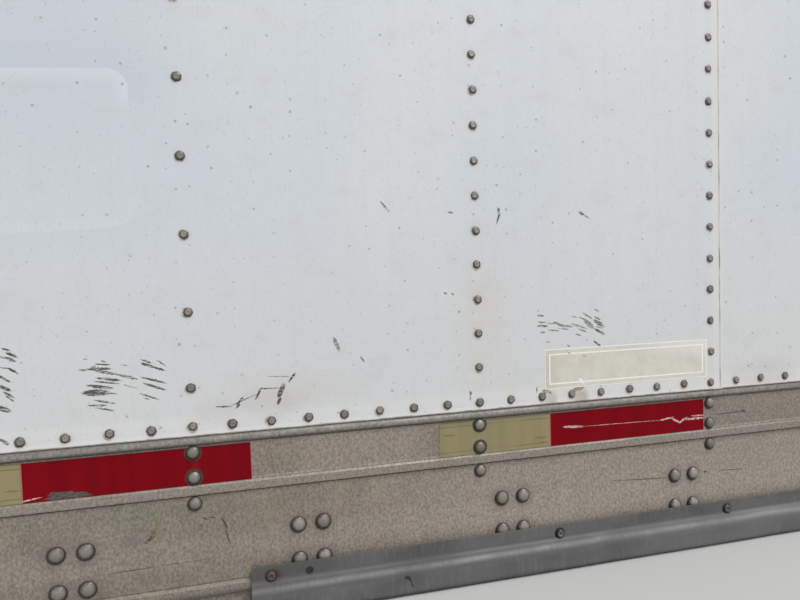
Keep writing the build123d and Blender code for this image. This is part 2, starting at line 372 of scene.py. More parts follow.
# Marks on the sheets, the rails, the tape, the bar and the placard, in millimetres:
# start x and z, end x and z, width
SHEET_SCUFFS = (
    (-673, 291, -665, 288, 2.6), (-668, 285, -658, 280, 3.4), (-670, 280, -661, 275, 3.6),
    (-667, 266, -659, 260, 3.2), (-679, 258, -668, 250, 3.4), (-680, 246, -668, 239, 4.2),
    (-674, 237, -664, 230, 2.6), (-672, 232, -665, 226, 2.6), (-682, 219, -671, 214, 6.4),
    (-680, 178, -674, 173, 4.4), (-569, 265, -553, 263, 2.4), (-589, 259, -580, 258, 2.4),
    (-577, 259, -554, 258, 4.2), (-570, 257, -548, 251, 3.6), (-548, 251, -521, 242, 2.8),
    (-568, 247, -541, 242, 3.6), (-572, 243, -544, 238, 2.2), (-579, 238, -552, 233, 4.2),
    (-583, 229, -559, 228, 8.4), (-573, 219, -550, 213, 2.4), (-580, 213, -560, 211, 2.8),
    (-572, 209, -552, 204, 2.2), (-515, 267, -503, 262, 2.4), (-514, 262, -502, 257, 3.8),
    (-502, 257, -487, 251, 2.8), (-496, 265, -486, 257, 1.8), (-515, 244, -488, 235, 3.0),
    (-513, 236, -489, 226, 3.4), (-518, 223, -497, 214, 2.0), (-425, 198, -406, 197, 2.0),
    (-398, 199, -391, 207, 3.4), (-399, 194, -395, 199, 2.4), (-373, 205, -366, 218, 3.2),
    (-366, 218, -343, 217, 1.8), (-342, 207, -336, 220, 7.0), (-341, 202, -344, 196, 4.2),
    (-328, 225, -320, 235, 3.2), (-13, 459, -12, 449, 4.6), (-12, 452, -16, 437, 2.0),
    (122, 453, 126, 451, 4.8), (49, 282, 62, 281, 3.4), (145, 285, 158, 277, 6.2),
    (145, 272, 160, 264, 4.2), (143, 253, 153, 246, 3.2), (44, 188, 43, 180, 2.2),
    (153, 188, 153, 183, 2.8), (-64, 189, -64, 186, 3.4), (-64, 186, -65, 177, 1.6),
)
SHEET_FAINT_SCUFFS = (
    (-677, 268, -667, 266, 1.8), (-676, 281, -669, 279, 2.4), (-583, 272, -579, 272, 1.8),
    (-562, 269, -558, 267, 1.8), (-577, 259, -571, 262, 2.4), (-543, 250, -528, 246, 2.2),
    (-558, 227, -546, 225, 1.8), (-539, 262, -533, 261, 1.8), (-538, 236, -523, 231, 1.8),
    (-514, 217, -508, 215, 1.8), (-406, 198, -374, 210, 1.8), (-356, 234, -327, 232, 1.4),
    (126, 451, 138, 444, 2.2), (-191, 470, -183, 460, 3.4), (-182, 460, -180, 456, 1.6),
    (-100, 338, -98, 337, 3.0), (-89, 337, -87, 335, 2.6), (48, 298, 57, 297, 2.8),
    (49, 288, 60, 287, 2.6), (52, 272, 58, 272, 2.6), (64, 285, 80, 285, 1.8),
    (74, 287, 84, 283, 2.6), (82, 282, 104, 278, 4.4), (65, 275, 82, 273, 2.4),
    (82, 277, 99, 274, 2.2), (104, 283, 129, 274, 2.8), (116, 274, 129, 269, 2.6),
    (112, 266, 119, 264, 2.6), (105, 294, 113, 292, 2.4), (124, 298, 138, 290, 3.0),
    (117, 292, 133, 286, 2.4), (129, 285, 139, 276, 8.0), (145, 303, 151, 300, 2.4),
    (145, 291, 153, 287, 3.2), (146, 276, 158, 273, 1.8), (61, 257, 65, 257, 2.4),
    (96, 250, 100, 248, 2.6), (109, 179, 123, 182, 4.0), (60, 182, 67, 178, 3.6),
    (55, 182, 61, 183, 4.8), (52, 176, 60, 180, 4.0), (105, 178, 113, 181, 6.0),
    (112, 183, 124, 183, 3.2), (-91, 455, -85, 454, 3.0), (-264, 280, -258, 265, 5.5),
    (-227, 252, -223, 246, 3.2),
)
RAIL_SCRATCHES = (
    (-570, -9, -505, -8, 1.0), (-510, -8, -435, -7, 0.7), (170, 29, 197, 27, 0.9),
    (195, 27, 274, 22, 1.5), (344, 24, 349, 24, 2.4), (374, 23, 428, 20, 1.2),
    (366, 118, 424, 119, 1.6),
)
RAIL_GOUGES = (
    (-424, 46, -418, 32, 2.6), (-420, 30, -415, 8, 1.5), (-449, 50, -443, 47, 1.6),
    (-438, 49, -433, 48, 1.6), (-452, 40, -449, 37, 1.4), (421, 120, 427, 118, 3.4),
    (45, 31, 46, 30, 1.6), (-8, 65, -8, 64, 1.4), (16, 62, 16, 61, 1.3),
    (29, -5, 30, -6, 1.5), (36, -6, 37, -7, 1.4), (-73, 29, -73, 28, 1.4),
    (115, 7, 116, 6, 1.6),
)
RAIL_RUST_HAZE = ((-503, 50, -509, 41, 6.0), (-507, 43, -515, 30, 8.0))
RAIL_RUST = ((-509, 40, -513, 34, 3.0), (-512, 34, -520, 26, 5.0))
RED_SCRATCHES = (
    (89, 123, 119, 121, 3.8), (115, 121, 265, 118, 0.8), (262, 118, 285, 121, 2.4),
    (283, 119, 298, 111, 3.6), (297, 111, 311, 118, 3.4), (309, 115, 343, 115, 3.4),
    (322, 120, 344, 119, 2.4), (-662, 98, -641, 101, 1.8),
)
RED_SCUFF = (
    (-632, 98, -586, 98, 6.0), (-630, 102, -606, 103, 5.0), (-612, 100, -590, 101, 4.6),
    (-629, 105, -623, 105, 2.6), (-612, 104, -604, 104, 2.4),
)
WHITE_MARKS = (
    (-108, 128, -90, 127, 2.0), (38, 111, 58, 110, 2.2), (44, 104, 58, 103, 1.4),
    (-680, 113, -664, 112, 2.0),
)
BAR_MARKS = ((-176, -63, -172, -66, 5.4), (-172, -66, -169, -70, 3.0), (-169, -72, -166, -79, 1.8))
PLACARD_GRIME = ((123, 232, 128, 231, 1.8), (97, 239, 101, 236, 1.8), (233, 254, 234, 247, 1.6))
PLACARD_CHIP = ((117, 196, 123, 190, 3.2),)

# Stains on the sheets, in millimetres: middle x and z, reach along and up, and share. The warm ones
# spread from the joints of the middle post and from the placard's rivets.
WARM_STAINS = ((-40, 300, 70, 190, 1.0), (88, 178, 42, 22, 1.0), (-330, 214, 130, 40, 1.0))
FOOT_DUST = (
    (118, 167, 19, 20, 0.80), (66, 168, 16, 19, 0.65), (465, 182, 90, 36, 0.26),
    (-352, 196, 60, 30, 0.26), (-425, 192, 40, 24, 0.20),
)

# The bottom rail's tones, in millimetres: low and high z, softness, x where the tone starts and is
# full or None, share and colour. The first are laid before its green patches and the rest after them.
RAIL_TONES = (
    (148.8, 160.0, 0.6, None, 0.62, (124, 120, 116)),
    # Painted shade that dims the bead's lit crest
    (156.8, 161.0, 0.8, None, 0.80, (106, 102, 98)),
    # Painted light on the bead's shaded underside
    (150.6, 155.0, 1.0, None, 0.80, (148, 143, 138)),
    # More painted shade on the bead's crest, deeper towards the right
    (156.8, 161.0, 0.8, (-200.0, 420.0), 0.55, (88, 83, 78)),
)
RAIL_LATER_TONES = (
    (-60.0, 74.0, 5.0, (-420.0, 60.0), 0.48, (172, 162, 152)),
    (-12.0, 24.0, 8.0, None, 0.22, (172, 163, 153)),
    # Painted highlight on the strip
    (84.0, 94.5, 0.8, None, 0.25, (162, 154, 145)),
    # Painted shade that dims the strip's lit top edge
    (92.0, 95.4, 0.7, None, 0.80, (124, 116, 108)),
    # More painted shade on that edge, deeper towards the right
    (92.0, 95.4, 0.7, (-200.0, 60.0), 0.45, (92, 86, 80)),
    # Painted highlight on the band just above the strip
    (96.2, 99.0, 0.6, None, 0.70, (166, 157, 148)),
)

# Zones of the long sheet that hold its rubbed marks, in millimetres: the paint's name, low and high x
RUBBED_ZONES = (("white_enamel_rubbed_1", -900, -200), ("white_enamel_rubbed_2", -200, 300))

# Dents in the guard bar's face, in millimetres: x, z, reach and depth
BAR_DENTS = ((-173, -71, 13, 2.0), (-255, -54, 22, 1.0), (150, -57, 26, 1.1), (455, -62, 30, 1.3))


def new_object(name, data):
    """Puts an object in the scene."""
    made = bpy.data.objects.new(name, data)
    bpy.context.scene.collection.objects.link(made)
    return made


def evaluated_mesh(piece):
    """A new mesh of an object with its modifiers applied."""
    return bpy.data.meshes.new_from_object(piece.evaluated_get(bpy.context.evaluated_depsgraph_get()))


def finish_node(name, material):
    """Gives a carried-over node its material."""
    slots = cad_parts[name].data.materials
    slots.clear()
    slots.append(material)


def new_piece(name, mesh, material, sharp=35.0):
    """Puts a finished mesh in the scene as a piece that rides on the wall."""
    mesh.materials.clear()
    mesh.materials.append(material)
    mesh.shade_smooth()
    mesh.set_sharp_from_angle(angle=math.radians(sharp))
    piece = new_object(name, mesh)
    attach(piece, "root")
    return piece


def cut_ends(paint):
    """Mask of the bright faces where the section is cut from the wall."""
    start, end = WALL_START / MM, WALL_END / MM
    left = paint.spread(paint.x, start + 0.1, start + 0.4, 1.0, 0.0)
    return paint.most([left, paint.spread(paint.x, end - 0.4, end - 0.1)])


def bolt_rings(paint, spots, pitch, left=0.0, down=0.0):
    """How far a place is from the nearest of some bolts that repeat along the wall."""
    return paint.least([paint.ring(x / MM - left, z / MM - down, pitch_x=pitch / MM) for x, z in spots])


def lay_rivet_dirt_and_shadow(paint):
    """Lays the dirt held round each skin rivet's head, with painted shadow: the rings are shifted below its
    left side, where its shadow falls.
    """
    left, down = 0.9, 1.1
    pitch = RIVET_PITCH / MM
    rings = [paint.ring(RIVET_SHIFT / MM - left, BOTTOM_ROW / MM - down, pitch_x=pitch)]
    for x in POST_XS:
        step = 2 * pitch if x in WIDE_COLUMNS else pitch
        rings.append(paint.ring((x + RIVET_SHIFT) / MM - left, COLUMN_START / MM - down, pitch_z=step))
    nearest = paint.least(rings)
    broken = paint.spread(paint.noise(5, shift=1.7), 0.3, 0.65, 0.2, 1.0)
    # A soft halo and a dark ring, each of them dirt and painted shadow
    paint.lay((196, 188, 180), paint.times(paint.spread(nearest, 6.0, 17.0, 0.30, 0.0), broken))
    paint.lay((120, 108, 98), paint.times(paint.spread(nearest, 6.0, 8.6, 0.75, 0.0), broken))


def lay_old_patch(paint):
    """Lays the outline of a removed patch that rises a little to the right: painted highlight just inside
    its edge and painted shade just outside it, where the dented sheet catches and loses the light.
    """
    middle_x, middle_z, half_wide, half_high, corner = -700.0, 530.0, 185.0, 100.0, 26.0
    rise = 0.048
    level = paint.math("ADD", paint.z, paint.math("MULTIPLY_ADD", paint.x, -rise, rise * middle_x))
    offset = paint.vector("SUBTRACT", paint.point(paint.x, level), (middle_x, middle_z, 0.0))
    straight = (half_wide - corner, half_high - corner, 0.0)
    beyond = paint.vector("SUBTRACT", paint.vector("ABSOLUTE", offset), straight)
    outward = paint.vector("LENGTH", paint.vector("MAXIMUM", beyond, (0.0, 0.0, 0.0)))
    past = paint.math("SUBTRACT", outward, corner)
    upper = paint.spread(paint.z, middle_z + 50, middle_z + 84)
    lower = paint.spread(paint.z, middle_z - 94, middle_z - 60, 1.0, 0.0)
    seen = paint.most([upper, paint.times(lower, 0.38), 0.05])
    # Painted highlight just inside the outline
    glow = paint.times(paint.spread(past, -22.0, -1.5), paint.spread(past, -0.9, 0.5, 1.0, 0.0))
    paint.lay((214, 219, 226), paint.times(glow, seen), 0.42)
    # Painted shade just outside the outline
    dent_shade = paint.times(paint.spread(past, -0.4, 1.0), paint.spread(past, 2.0, 60.0, 1.0, 0.0))
    paint.lay((186, 194, 202), paint.times(dent_shade, seen), 0.48)


def sheet_paint(settings, name, strong_rows=(), faint_rows=()):
    """Weathered white enamel with specks and stains, and with the rubbed marks it is given."""
    paint = Paint(name)
    broad = paint.noise(420, (1.0, 1.0, 0.6), 2.0)
    streaks = paint.noise(9, (1.0, 1.0, 0.03), 4.0, 0.6)
    hair = paint.noise(2.6, (1.0, 1.0, 0.35), 2.0, 0.6, 2.2)
    mottle = paint.noise(46, detail=4.0, rough=0.6, shift=3.1)
    paint.base = shade(201, 207, 216)
    paint.lay(settings.paint, paint.spread(broad, 0.32, 0.66))
    paint.lay((205, 207, 206), paint.spread(paint.z, 200.0, 520.0, 1.0, 0.0), 0.75)
    high = paint.times(paint.spread(paint.z, 380, 660), paint.spread(paint.z, 760, 1400, 1.0, 0.0))
    paint.lay((191, 199, 211), paint.times(high, paint.spread(paint.x, -650, -250, 1.0, 0.0)), 0.65)
    paint.lay((196, 199, 200), paint.spread(streaks, 0.45, 0.75), 0.20)
    paint.lay((194, 197, 199), paint.spread(hair, 0.3, 0.7), 0.30)
    paint.lay((190, 193, 194), paint.spread(mottle, 0.48, 0.75), 0.34)
    stained = paint.times(paint.blots(WARM_STAINS), paint.spread(mottle, 0.3, 0.7, 0.25, 0.6))
    paint.lay((197, 191, 185), stained)

    # Cleaner strips along the foot, dust on them, and the dark line on the edge, which is grime and painted
    # shadow where the sheet meets the bead
    foot = SHEET_FOOT / MM
    paint.lay((216, 217, 216), paint.zone(paint.z, foot + 4.0, foot + 26.0, 6.0), 0.4)
    paint.lay((214, 214, 213), paint.zone(paint.z, foot + 1.0, foot + 7.0, 1.0))
    dusted = paint.times(paint.blots(FOOT_DUST, 0.35), paint.spread(mottle, 0.3, 0.7, 0.7, 1.0))
    paint.lay((168, 157, 144), dusted)
    height = paint.wavy(paint.z, paint.noise(14, shift=5.0), 2.6)
    paint.lay((94, 87, 81), paint.spread(height, foot + 0.5, foot + 2.4, 0.85, 0.0))
    lay_rivet_dirt_and_shadow(paint)
    lay_old_patch(paint)

    # Warm strip where sealant was smoothed over the lap, then specks and rubbed marks
    paint.lay((212, 211, 207), paint.zone(paint.x, SEAM_X / MM + 7.0, LAP_END / MM + 9.0, 2.0), 0.55)
    sizes = ((26, 1.6, 0.0, 0.6), (13, 0.9, 4.3, 0.1), (74, 1.9, 9.1, 0.7))
    paint.lay((128, 130, 133), paint.most([paint.specks(*row) for row in sizes]), 0.68)
    if strong_rows:
        place = paint.ragged(2.6, 3.2)
        rubbed = paint.spread(paint.noise(2.0, (0.3, 1.0, 1.0), 2.0, shift=8.0), 0.32, 0.54, 0.35, 1.0)
        paint.lay((106, 101, 94), paint.times(paint.strokes(place, faint_rows), rubbed), 0.85)
        paint.lay(settings.scuff, paint.times(paint.strokes(place, strong_rows), rubbed), 0.97)
    paint.lay((168, 168, 168), cut_ends(paint))
    return paint.finish(mottle, (0.42, 0.56), paint.noise(3.5, detail=1.0, shift=6.0), 0.02)


def aluminium_paint(name, tone, bottom):
    """Weathered mill finish: short vertical mottling, pits and drips, and the bottom rail's own marks."""
    paint = Paint(name, metallic=0.25)
    grain = paint.noise(3.3, (1.0, 1.0, 0.7), 3.0, 0.62)
    blotch = paint.noise(46, (1.0, 1.0, 0.8), 4.0, 0.6, 2.0)
    broad = paint.noise(190, detail=2.0, shift=7.0)
    drips = paint.noise(11, (1.0, 1.0, 0.12), 3.0, 0.6, 4.0)
    paint.base = tone
    paint.lay(tinted(tone, 0.76, 0.74, 0.76), paint.spread(blotch, 0.42, 0.72), 0.55)
    paint.lay(tinted(tone, 1.03, 0.97, 0.88), paint.spread(broad, 0.35, 0.7), 0.55)
    paint.lay(tinted(tone, 0.62, 0.60, 0.58), paint.spread(drips, 0.5, 0.78), 0.28)
    if bottom:
        lay_rail_tones(paint, blotch)
    white = (1.0, 1.0, 1.0)
    grey = paint.mix(paint.spread(grain, 0.30, 0.70), tinted(white, 0.64), tinted(white, 1.11))
    paint.base = paint.mix(1.0, paint.base, grey, "MULTIPLY")
    pits = paint.most([paint.specks(7.5, 0.75, 2.0, 0.0), paint.specks(31, 1.3, 5.0)])
    paint.lay((66, 60, 55), pits, 0.75)
    if bottom:
        lay_rail_marks_and_shade(paint)
    paint.lay((176, 176, 174), cut_ends(paint), 0.85)
    return paint.finish(blotch, (0.42, 0.6), grain, 0.06)


def lay_bands(paint, rows):
    """Lays the level bands of a table of tones."""
    for low, high, soft, ramp, share, tone in rows:
        mask = paint.zone(paint.z, low, high, soft)
        if ramp:
            mask = paint.times(mask, paint.spread(paint.x, *ramp))
        paint.lay(tone, mask, share)


def lay_rail_tones(paint, blotch):
    """Lays the bottom rail's broad tones: a greyer bead, a greenish band and a washed right side, with
    painted shade and painted highlight on the bead and the strip.
    """
    lay_bands(paint, RAIL_TONES)
    greened = paint.times(paint.zone(paint.z, 52.0, 78.0, 9.0), paint.spread(blotch, 0.35, 0.6))
    paint.lay((122, 121, 106), greened, 0.45)
    paint.lay((146, 143, 126), paint.spread(paint.noise(58, shift=11.0), 0.48, 0.68), 0.40)
    band = paint.zone(paint.z, 96.0, 147.0, 1.0)
    paint.lay((168, 158, 148), paint.times(band, paint.zone(paint.x, -320.0, -140.0, 30.0)), 0.32)
    lay_bands(paint, RAIL_LATER_TONES)


def lay_rail_marks_and_shade(paint):
    """Lays the bottom rail's own grime, rust and scratches, and painted shade under its bead and strip and
    below the left sides of its bolts.
    """
    outside = paint.spread(paint.y, RAIL_FACE / MM + 2.0, RAIL_FACE / MM + 3.5, 1.0, 0.0)
    height = paint.wavy(paint.z, paint.noise(9, shift=3.0), 2.0)

    # Each groove or edge: its height, how far its dark line reaches, and how dark it is. Each line is
    # grime, and painted shade where it lies under the bead or the strip
    grooves = [
        paint.times(paint.zone(height, level - reach / 2, level + reach / 2, 0.6), dark)
        for level, reach, dark in ((148.4, 1.6, 0.80), (81.0, 2.0, 0.95), (-40.2, 1.4, 0.55))
    ]
    paint.lay((52, 46, 42), paint.times(paint.most(grooves), outside))

    # Grime round the crossmember bolts and the post bolts, with painted shadow: the rings are shifted below
    # their left sides, where their shadows fall
    nearest = bolt_rings(paint, CLIP_BOLTS[:4], CLIP_PITCH, 1.0, 1.3)
    paint.lay((48, 42, 38), paint.spread(nearest, 10.9, 12.8, 0.85, 0.0))
    paint.lay((98, 92, 85), paint.spread(nearest, 11.0, 26.0, 0.30, 0.0))
    nearest = bolt_rings(paint, POST_BOLTS[:3], POST_PITCH, 1.0, 1.2)
    paint.lay((54, 48, 43), paint.spread(nearest, 9.1, 11.1, 0.8, 0.0))

    place = paint.ragged(4.0, 4.5)
    broken = paint.spread(paint.noise(3.2, shift=12.0), 0.36, 0.60, 0.1, 1.0)
    haze = paint.times(paint.strokes(place, RAIL_RUST_HAZE), paint.spread(broken, 0.0, 1.0, 0.45, 1.0))
    paint.lay((124, 102, 66), haze, 0.6)
    paint.lay((88, 62, 36), paint.times(paint.strokes(place, RAIL_RUST), broken))
    place = paint.ragged(2.5, 1.6)
    paint.lay((50, 44, 40), paint.times(paint.strokes(place, RAIL_SCRATCHES), outside), 0.85)
    paint.lay((44, 38, 34), paint.times(paint.strokes(place, RAIL_GOUGES), outside), 0.8)


def galvanised_paint(settings):
    """Dull zinc with vertical run marks and a few dark dents, painted shade on the shoulder's slope and
    painted highlight streaks along its crest.
    """
    paint = Paint("galvanised_zinc", metallic=0.35)
    zinc = settings.galvanised
    darker = tinted(zinc, 0.66, 0.66, 0.67)
    runs = paint.noise(6, (1.0, 0.6, 0.18), 4.0, 0.65)
    cloud = paint.noise(70, (0.6, 1.0, 1.0), 3.0, 0.55, 2.0)
    fine = paint.noise(2.4, detail=2.0, shift=5.0)
    paint.base = zinc
    paint.lay(darker, paint.spread(cloud, 0.35, 0.7))
    paint.lay(tinted(zinc, 1.55, 1.56, 1.60), paint.spread(runs, 0.46, 0.8), 0.5)
    paint.lay(darker, paint.spread(fine, 0.4, 0.8), 0.3)
    height = paint.wavy(paint.z, paint.noise(16, (0.5, 1.0, 1.0), shift=1.0), 3.0)
    # The shoulder faces up into the lamps' light: painted shade darkens its slope, less on the crest and
    # most just above the crest
    crest = paint.zone(height, -55.0, -50.5, 2.4)
    slope = paint.zone(height, -61.0, -43.0, 3.0)
    off_crest = paint.math("MULTIPLY_ADD", crest, -0.25, 1.0)
    paint.lay(tinted(zinc, 0.62, 0.62, 0.63), paint.times(slope, off_crest))
    paint.lay(tinted(zinc, 0.36, 0.36, 0.37), paint.zone(height, -50.5, -41.5, 2.5), 0.6)
    # Painted highlight: pale streaks along the crest
    paint.lay(tinted(zinc, 1.35, 1.35, 1.36), paint.times(crest, paint.spread(runs, 0.35, 0.65)), 0.25)
    left_end = paint.spread(paint.x, -330.0, -240.0, 1.0, 0.0)
    upper = paint.spread(paint.z, -52.0, -44.0)
    paint.lay(tinted(zinc, 0.56, 0.56, 0.58), paint.times(left_end, upper), 0.58)
    right_part = paint.spread(paint.x, -100.0, 500.0)
    lower = paint.spread(paint.z, -50.0, -40.0, 1.0, 0.0)
    paint.lay(tinted(zinc, 1.38, 1.40, 1.45), paint.times(right_part, lower), 0.26)
    paint.lay((38, 38, 38), paint.strokes(paint.ragged(3.0, 2.4), BAR_MARKS), 0.85)
    nearest = paint.least([paint.ring(x / MM, SCREW_Z / MM) for x in SCREW_XS])
    paint.lay((40, 38, 36), paint.spread(nearest, 7.4, 10.0, 0.8, 0.0))
    stain = paint.ring(SCREW_XS[0] / MM + 4.5, SCREW_Z / MM - 1.0)
    paint.lay((74, 58, 52), paint.spread(stain, 6.5, 12.0, 0.8, 0.0))
    rim = paint.ring(SPARE_HOLE_X / MM, SCREW_Z / MM)
    paint.lay((40, 39, 38), paint.spread(rim, 4.8, 6.8, 0.9, 0.0))
    return paint.finish(cloud, (0.52, 0.68), fine, 0.05)


def tape_paint(name, film, red):
    """Aged reflective film. The red is scraped, and the white is yellowed."""
    paint = Paint(name)
    paint.shader.inputs["Specular IOR Level"].default_value = 0.05 if red else 0.25
    across = paint.noise(24, (1.0, 1.0, 0.05), 2.0)
    cloud = paint.noise(60, detail=3.0, shift=3.0)
    vary = 0.08 if red else 0.05
    paint.base = tinted(film, 1 - vary)
    paint.lay(tinted(film, 1 + vary), paint.spread(across, 0.35, 0.65))
    paint.lay(film, paint.spread(cloud, 0.4, 0.7), 0.5)
    low, high = TAPE_LOW.z / MM, TAPE_HIGH.z / MM
    place = paint.ragged(3.0, 2.6)
    if red:
        starts = [paint.zone(paint.x, x + 0.2, x + 1.5, 0.4) for x in (-662.4, 64.2)]
        paint.lay((188, 128, 118), paint.most(starts), 0.7)
        posts = [paint.zone(paint.x, x / MM - 3.0, x / MM + 6.0, 4.0) for x in POST_XS]
        paint.lay((150, 44, 54), paint.most(posts), 0.20)
        worn = paint.spread(paint.noise(2.0, (0.4, 1.0, 1.0), shift=4.0), 0.35, 0.6, 0.35, 1.0)
        paint.lay((206, 192, 188), paint.times(paint.strokes(place, RED_SCRATCHES), worn), 0.95)
        rubbed = paint.mix(worn, shade(58, 50, 48), shade(96, 92, 88))
        paint.lay(rubbed, paint.strokes(place, RED_SCUFF))
    else:
        lines = paint.most([paint.zone(paint.z, z - 0.5, z + 0.5, 0.5) for z in (low + 6.5, high - 6.5)])
        broken = paint.spread(paint.noise(60, (1.0, 1.0, 0.2), shift=6.0), 0.30, 0.55, 0.3, 1.0)
        paint.lay((92, 82, 58), paint.times(lines, broken), 0.75)
        paint.lay((110, 74, 52), paint.strokes(place, WHITE_MARKS), 0.6)
        paint.lay((178, 120, 92), paint.zone(paint.x, 62.6, 66.0, 1.3), 0.7)
    nearest = bolt_rings(paint, POST_BOLTS[:2], POST_PITCH)
    nearest = paint.math("ADD", nearest, paint.times(cloud, 1.2))
    paint.lay((72, 66, 57), paint.spread(nearest, 11.6, 12.6, 1.0, 0.0))
    lower = paint.spread(paint.z, low, low + 1.2, 0.6, 0.0)
    paint.lay((74, 58, 50), paint.most([lower, paint.spread(paint.z, high - 1.2, high, 0.0, 0.6)]))
    paint.lay((60, 50, 44), paint.specks(22, 0.9, 6.0), 0.6)
    return paint.finish(cloud, (0.24, 0.38), paint.noise(1.6, detail=2.0, shift=9.0), 0.02)


def head_paint(name, centre, rim, metallic, rust=None, reach=(0.42, 0.98)):
    """A fastener's head: lighter in the middle and dark at its rim, where dirt and painted shade lie. Left
    of rust's x it is rusty.
    """
    paint = Paint(name, metallic=metallic)
    edge = paint.add("ShaderNodeAttribute", attribute_name="edge").outputs["Fac"]
    tone = paint.add("ShaderNodeAttribute", attribute_name="tone").outputs["Fac"]
    cloud = paint.noise(2.4, detail=3.0, rough=0.6)
    paint.base = shade(*centre)
    # The dark rim is dirt at the head's foot and painted shade where the head curves away from the lamps
    paint.lay(rim, paint.spread(paint.wavy(edge, cloud, 0.5), *reach))
    paint.lay(rim, paint.spread(tone, 0.0, 1.0), 0.38)
    paint.lay(rim, paint.spread(cloud, 0.55, 0.8), 0.5)
    if rust is not None:
        rusty = paint.mix(paint.spread(cloud, 0.35, 0.65), shade(70, 42, 36), shade(112, 84, 76))
        paint.lay(rusty, paint.spread(paint.x, rust - 20.0, rust + 20.0, 0.9, 0.0))
    return paint.finish(cloud, (0.38, 0.62), cloud, 0.12)


def plain_finish(name, tone, metallic, roughness, size, depth, contrast=0.2, along=(1.0, 1.0, 1.0)):
    """A finish for the inner pieces: one colour with cloudy variation, specks and its own grain."""
    paint = Paint(name, metallic=metallic)
    cloud = paint.noise(size * 12, along, 3.0, 0.6)
    grain = paint.noise(size, along, 3.0, 0.6, 3.0)
    darker = tinted(shade(*tone), 1 - contrast)
    paint.base = darker
    paint.lay(tone, paint.spread(cloud, 0.3, 0.7))
    paint.lay(tinted(shade(*tone), 1 + contrast), paint.spread(grain, 0.4, 0.75), 0.6)
    paint.lay(darker, paint.specks(40, 1.2, 4.0), 0.4)
    return paint.finish(cloud, (roughness - 0.06, roughness + 0.08), grain, depth)


def foam_paint():
    """Cut rigid foam: pale yellow, with open cells and saw marks."""
    paint = Paint("cut_foam")
    place = paint.scaled(paint.place, 1 / 1.7)
    cells = paint.texture("ShaderNodeTexVoronoi", place, feature="F1").outputs["Distance"]
    saw = paint.noise(5, (0.2, 0.2, 1.0), 2.0)
    cloud = paint.noise(45, detail=3.0)
    paint.base = shade(214, 196, 150)
    paint.lay((198, 174, 122), paint.spread(cloud, 0.3, 0.7))
    paint.lay((160, 134, 88), paint.spread(cells, 0.1, 0.6, 0.5, 0.0))
    return paint.finish(cloud, (0.86, 0.94), paint.math("MULTIPLY_ADD", saw, 0.6, cells), 0.8)


def seal_paint():
    """Aged sealant, greyed and brown where dust sticks to it."""
    paint = Paint("aged_sealant")
    cloud = paint.noise(12, (1.0, 1.0, 0.25), 4.0, 0.65)
    paint.base = shade(183, 180, 175)
    paint.lay((134, 126, 121), paint.spread(cloud, 0.44, 0.68))
    return paint.finish(cloud, (0.55, 0.7), cloud, 0.15)


def placard_paint(settings, low, high):
    """A faded film with two border lines and a bare field."""
    paint = Paint("placard_film")
    cloud = paint.noise(26, detail=4.0, rough=0.6)
    fine = paint.noise(2.0, detail=2.0, shift=3.0)
    low_x, low_z, high_x, high_z = low.x / MM, low.z / MM, high.x / MM, high.z / MM
    pairs = ((paint.x, low_x), (high_x, paint.x), (paint.z, low_z), (high_z, paint.z))
    inward = paint.wavy(paint.least([paint.math("SUBTRACT", *pair) for pair in pairs]), fine, 0.6)
    paint.base = settings.placard
    paint.lay((188, 184, 174), paint.spread(cloud, 0.35, 0.7), 0.55)
    paint.lay((184, 178, 166), paint.spread(paint.x, low_x, low_x + 45.0, 0.5, 0.0))
    upper = paint.times(paint.spread(paint.z, 205.0, 240.0), paint.spread(paint.x, high_x - 150.0, high_x))
    paint.lay((224, 222, 216), upper, 0.6)
    lines = paint.most([paint.zone(inward, 0.0, 1.2, 0.3), paint.zone(inward, 7.2, 9.2, 0.4)])
    paint.lay(settings.placard_line, paint.times(lines, paint.spread(cloud, 0.25, 0.5, 0.35, 1.0)))
    place = paint.ragged(3.0, 2.5)
    paint.lay((110, 104, 94), paint.strokes(place, PLACARD_GRIME), 0.7)
    paint.lay((236, 234, 230), paint.strokes(place, PLACARD_CHIP))
    paint.lay((140, 134, 126), paint.specks(16, 0.8, 3.0), 0.5)
    return paint.finish(cloud, (0.34, 0.5), fine, 0.02)


def mark_zones(settings):
    """The rubbed zones of the long sheet: the box of each zone's marks, and a paint that holds them."""
    border = 12
    zones = []
    for name, low_x, high_x in RUBBED_ZONES:
        strong, faint = (
            [row for row in rows if low_x < row[0] < high_x] for rows in (SHEET_SCUFFS, SHEET_FAINT_SCUFFS)
        )
        ends = [(row[n], row[n + 1]) for row in strong + faint for n in (0, 2)]
        low = [min(end[axis] for end in ends) - border for axis in (0, 1)]
        high = [max(end[axis] for end in ends) + border for axis in (0, 1)]
        zones.append((low, high, sheet_paint(settings, name, strong, faint)))
    return zones


def assign_zones(mesh, zones):
    """Gives the front faces inside each zone that zone's paint."""
    for low, high, material in zones:
        mesh.materials.append(material)
        index = len(mesh.materials) - 1
        for face in mesh.polygons:
            x, _, z = face.center / MM
            if face.normal.y < -0.5 and low[0] < x < high[0] and low[1] < z < high[1]:
                face.material_index = index


def smooth(value):
    """Eases a share from 0 to 1 at both ends."""
    value = max(0.0, min(1.0, value))
    return value * value * (3 - 2 * value)


def bell(distance, reach):
    """1 at no distance, falling smoothly to nothing over about twice the reach."""
    return math.exp(-((distance / reach) ** 2))


def dents(seed, count):
    """Shallow dents spread over the bays: x, z, reach and depth of each."""
    chance = random.Random(seed)
    border = 120 * MM
    places = []
    for _ in range(count):
        x = chance.uniform(WALL_START, WALL_END)
        z = chance.uniform(SHEET_FOOT + border, SHEET_TOP - border)
        places.append((x, z, chance.uniform(28, 85) * MM, chance.uniform(-0.5, 0.3) * MM))
    return places


DENTS = dents(seed=11, count=46)


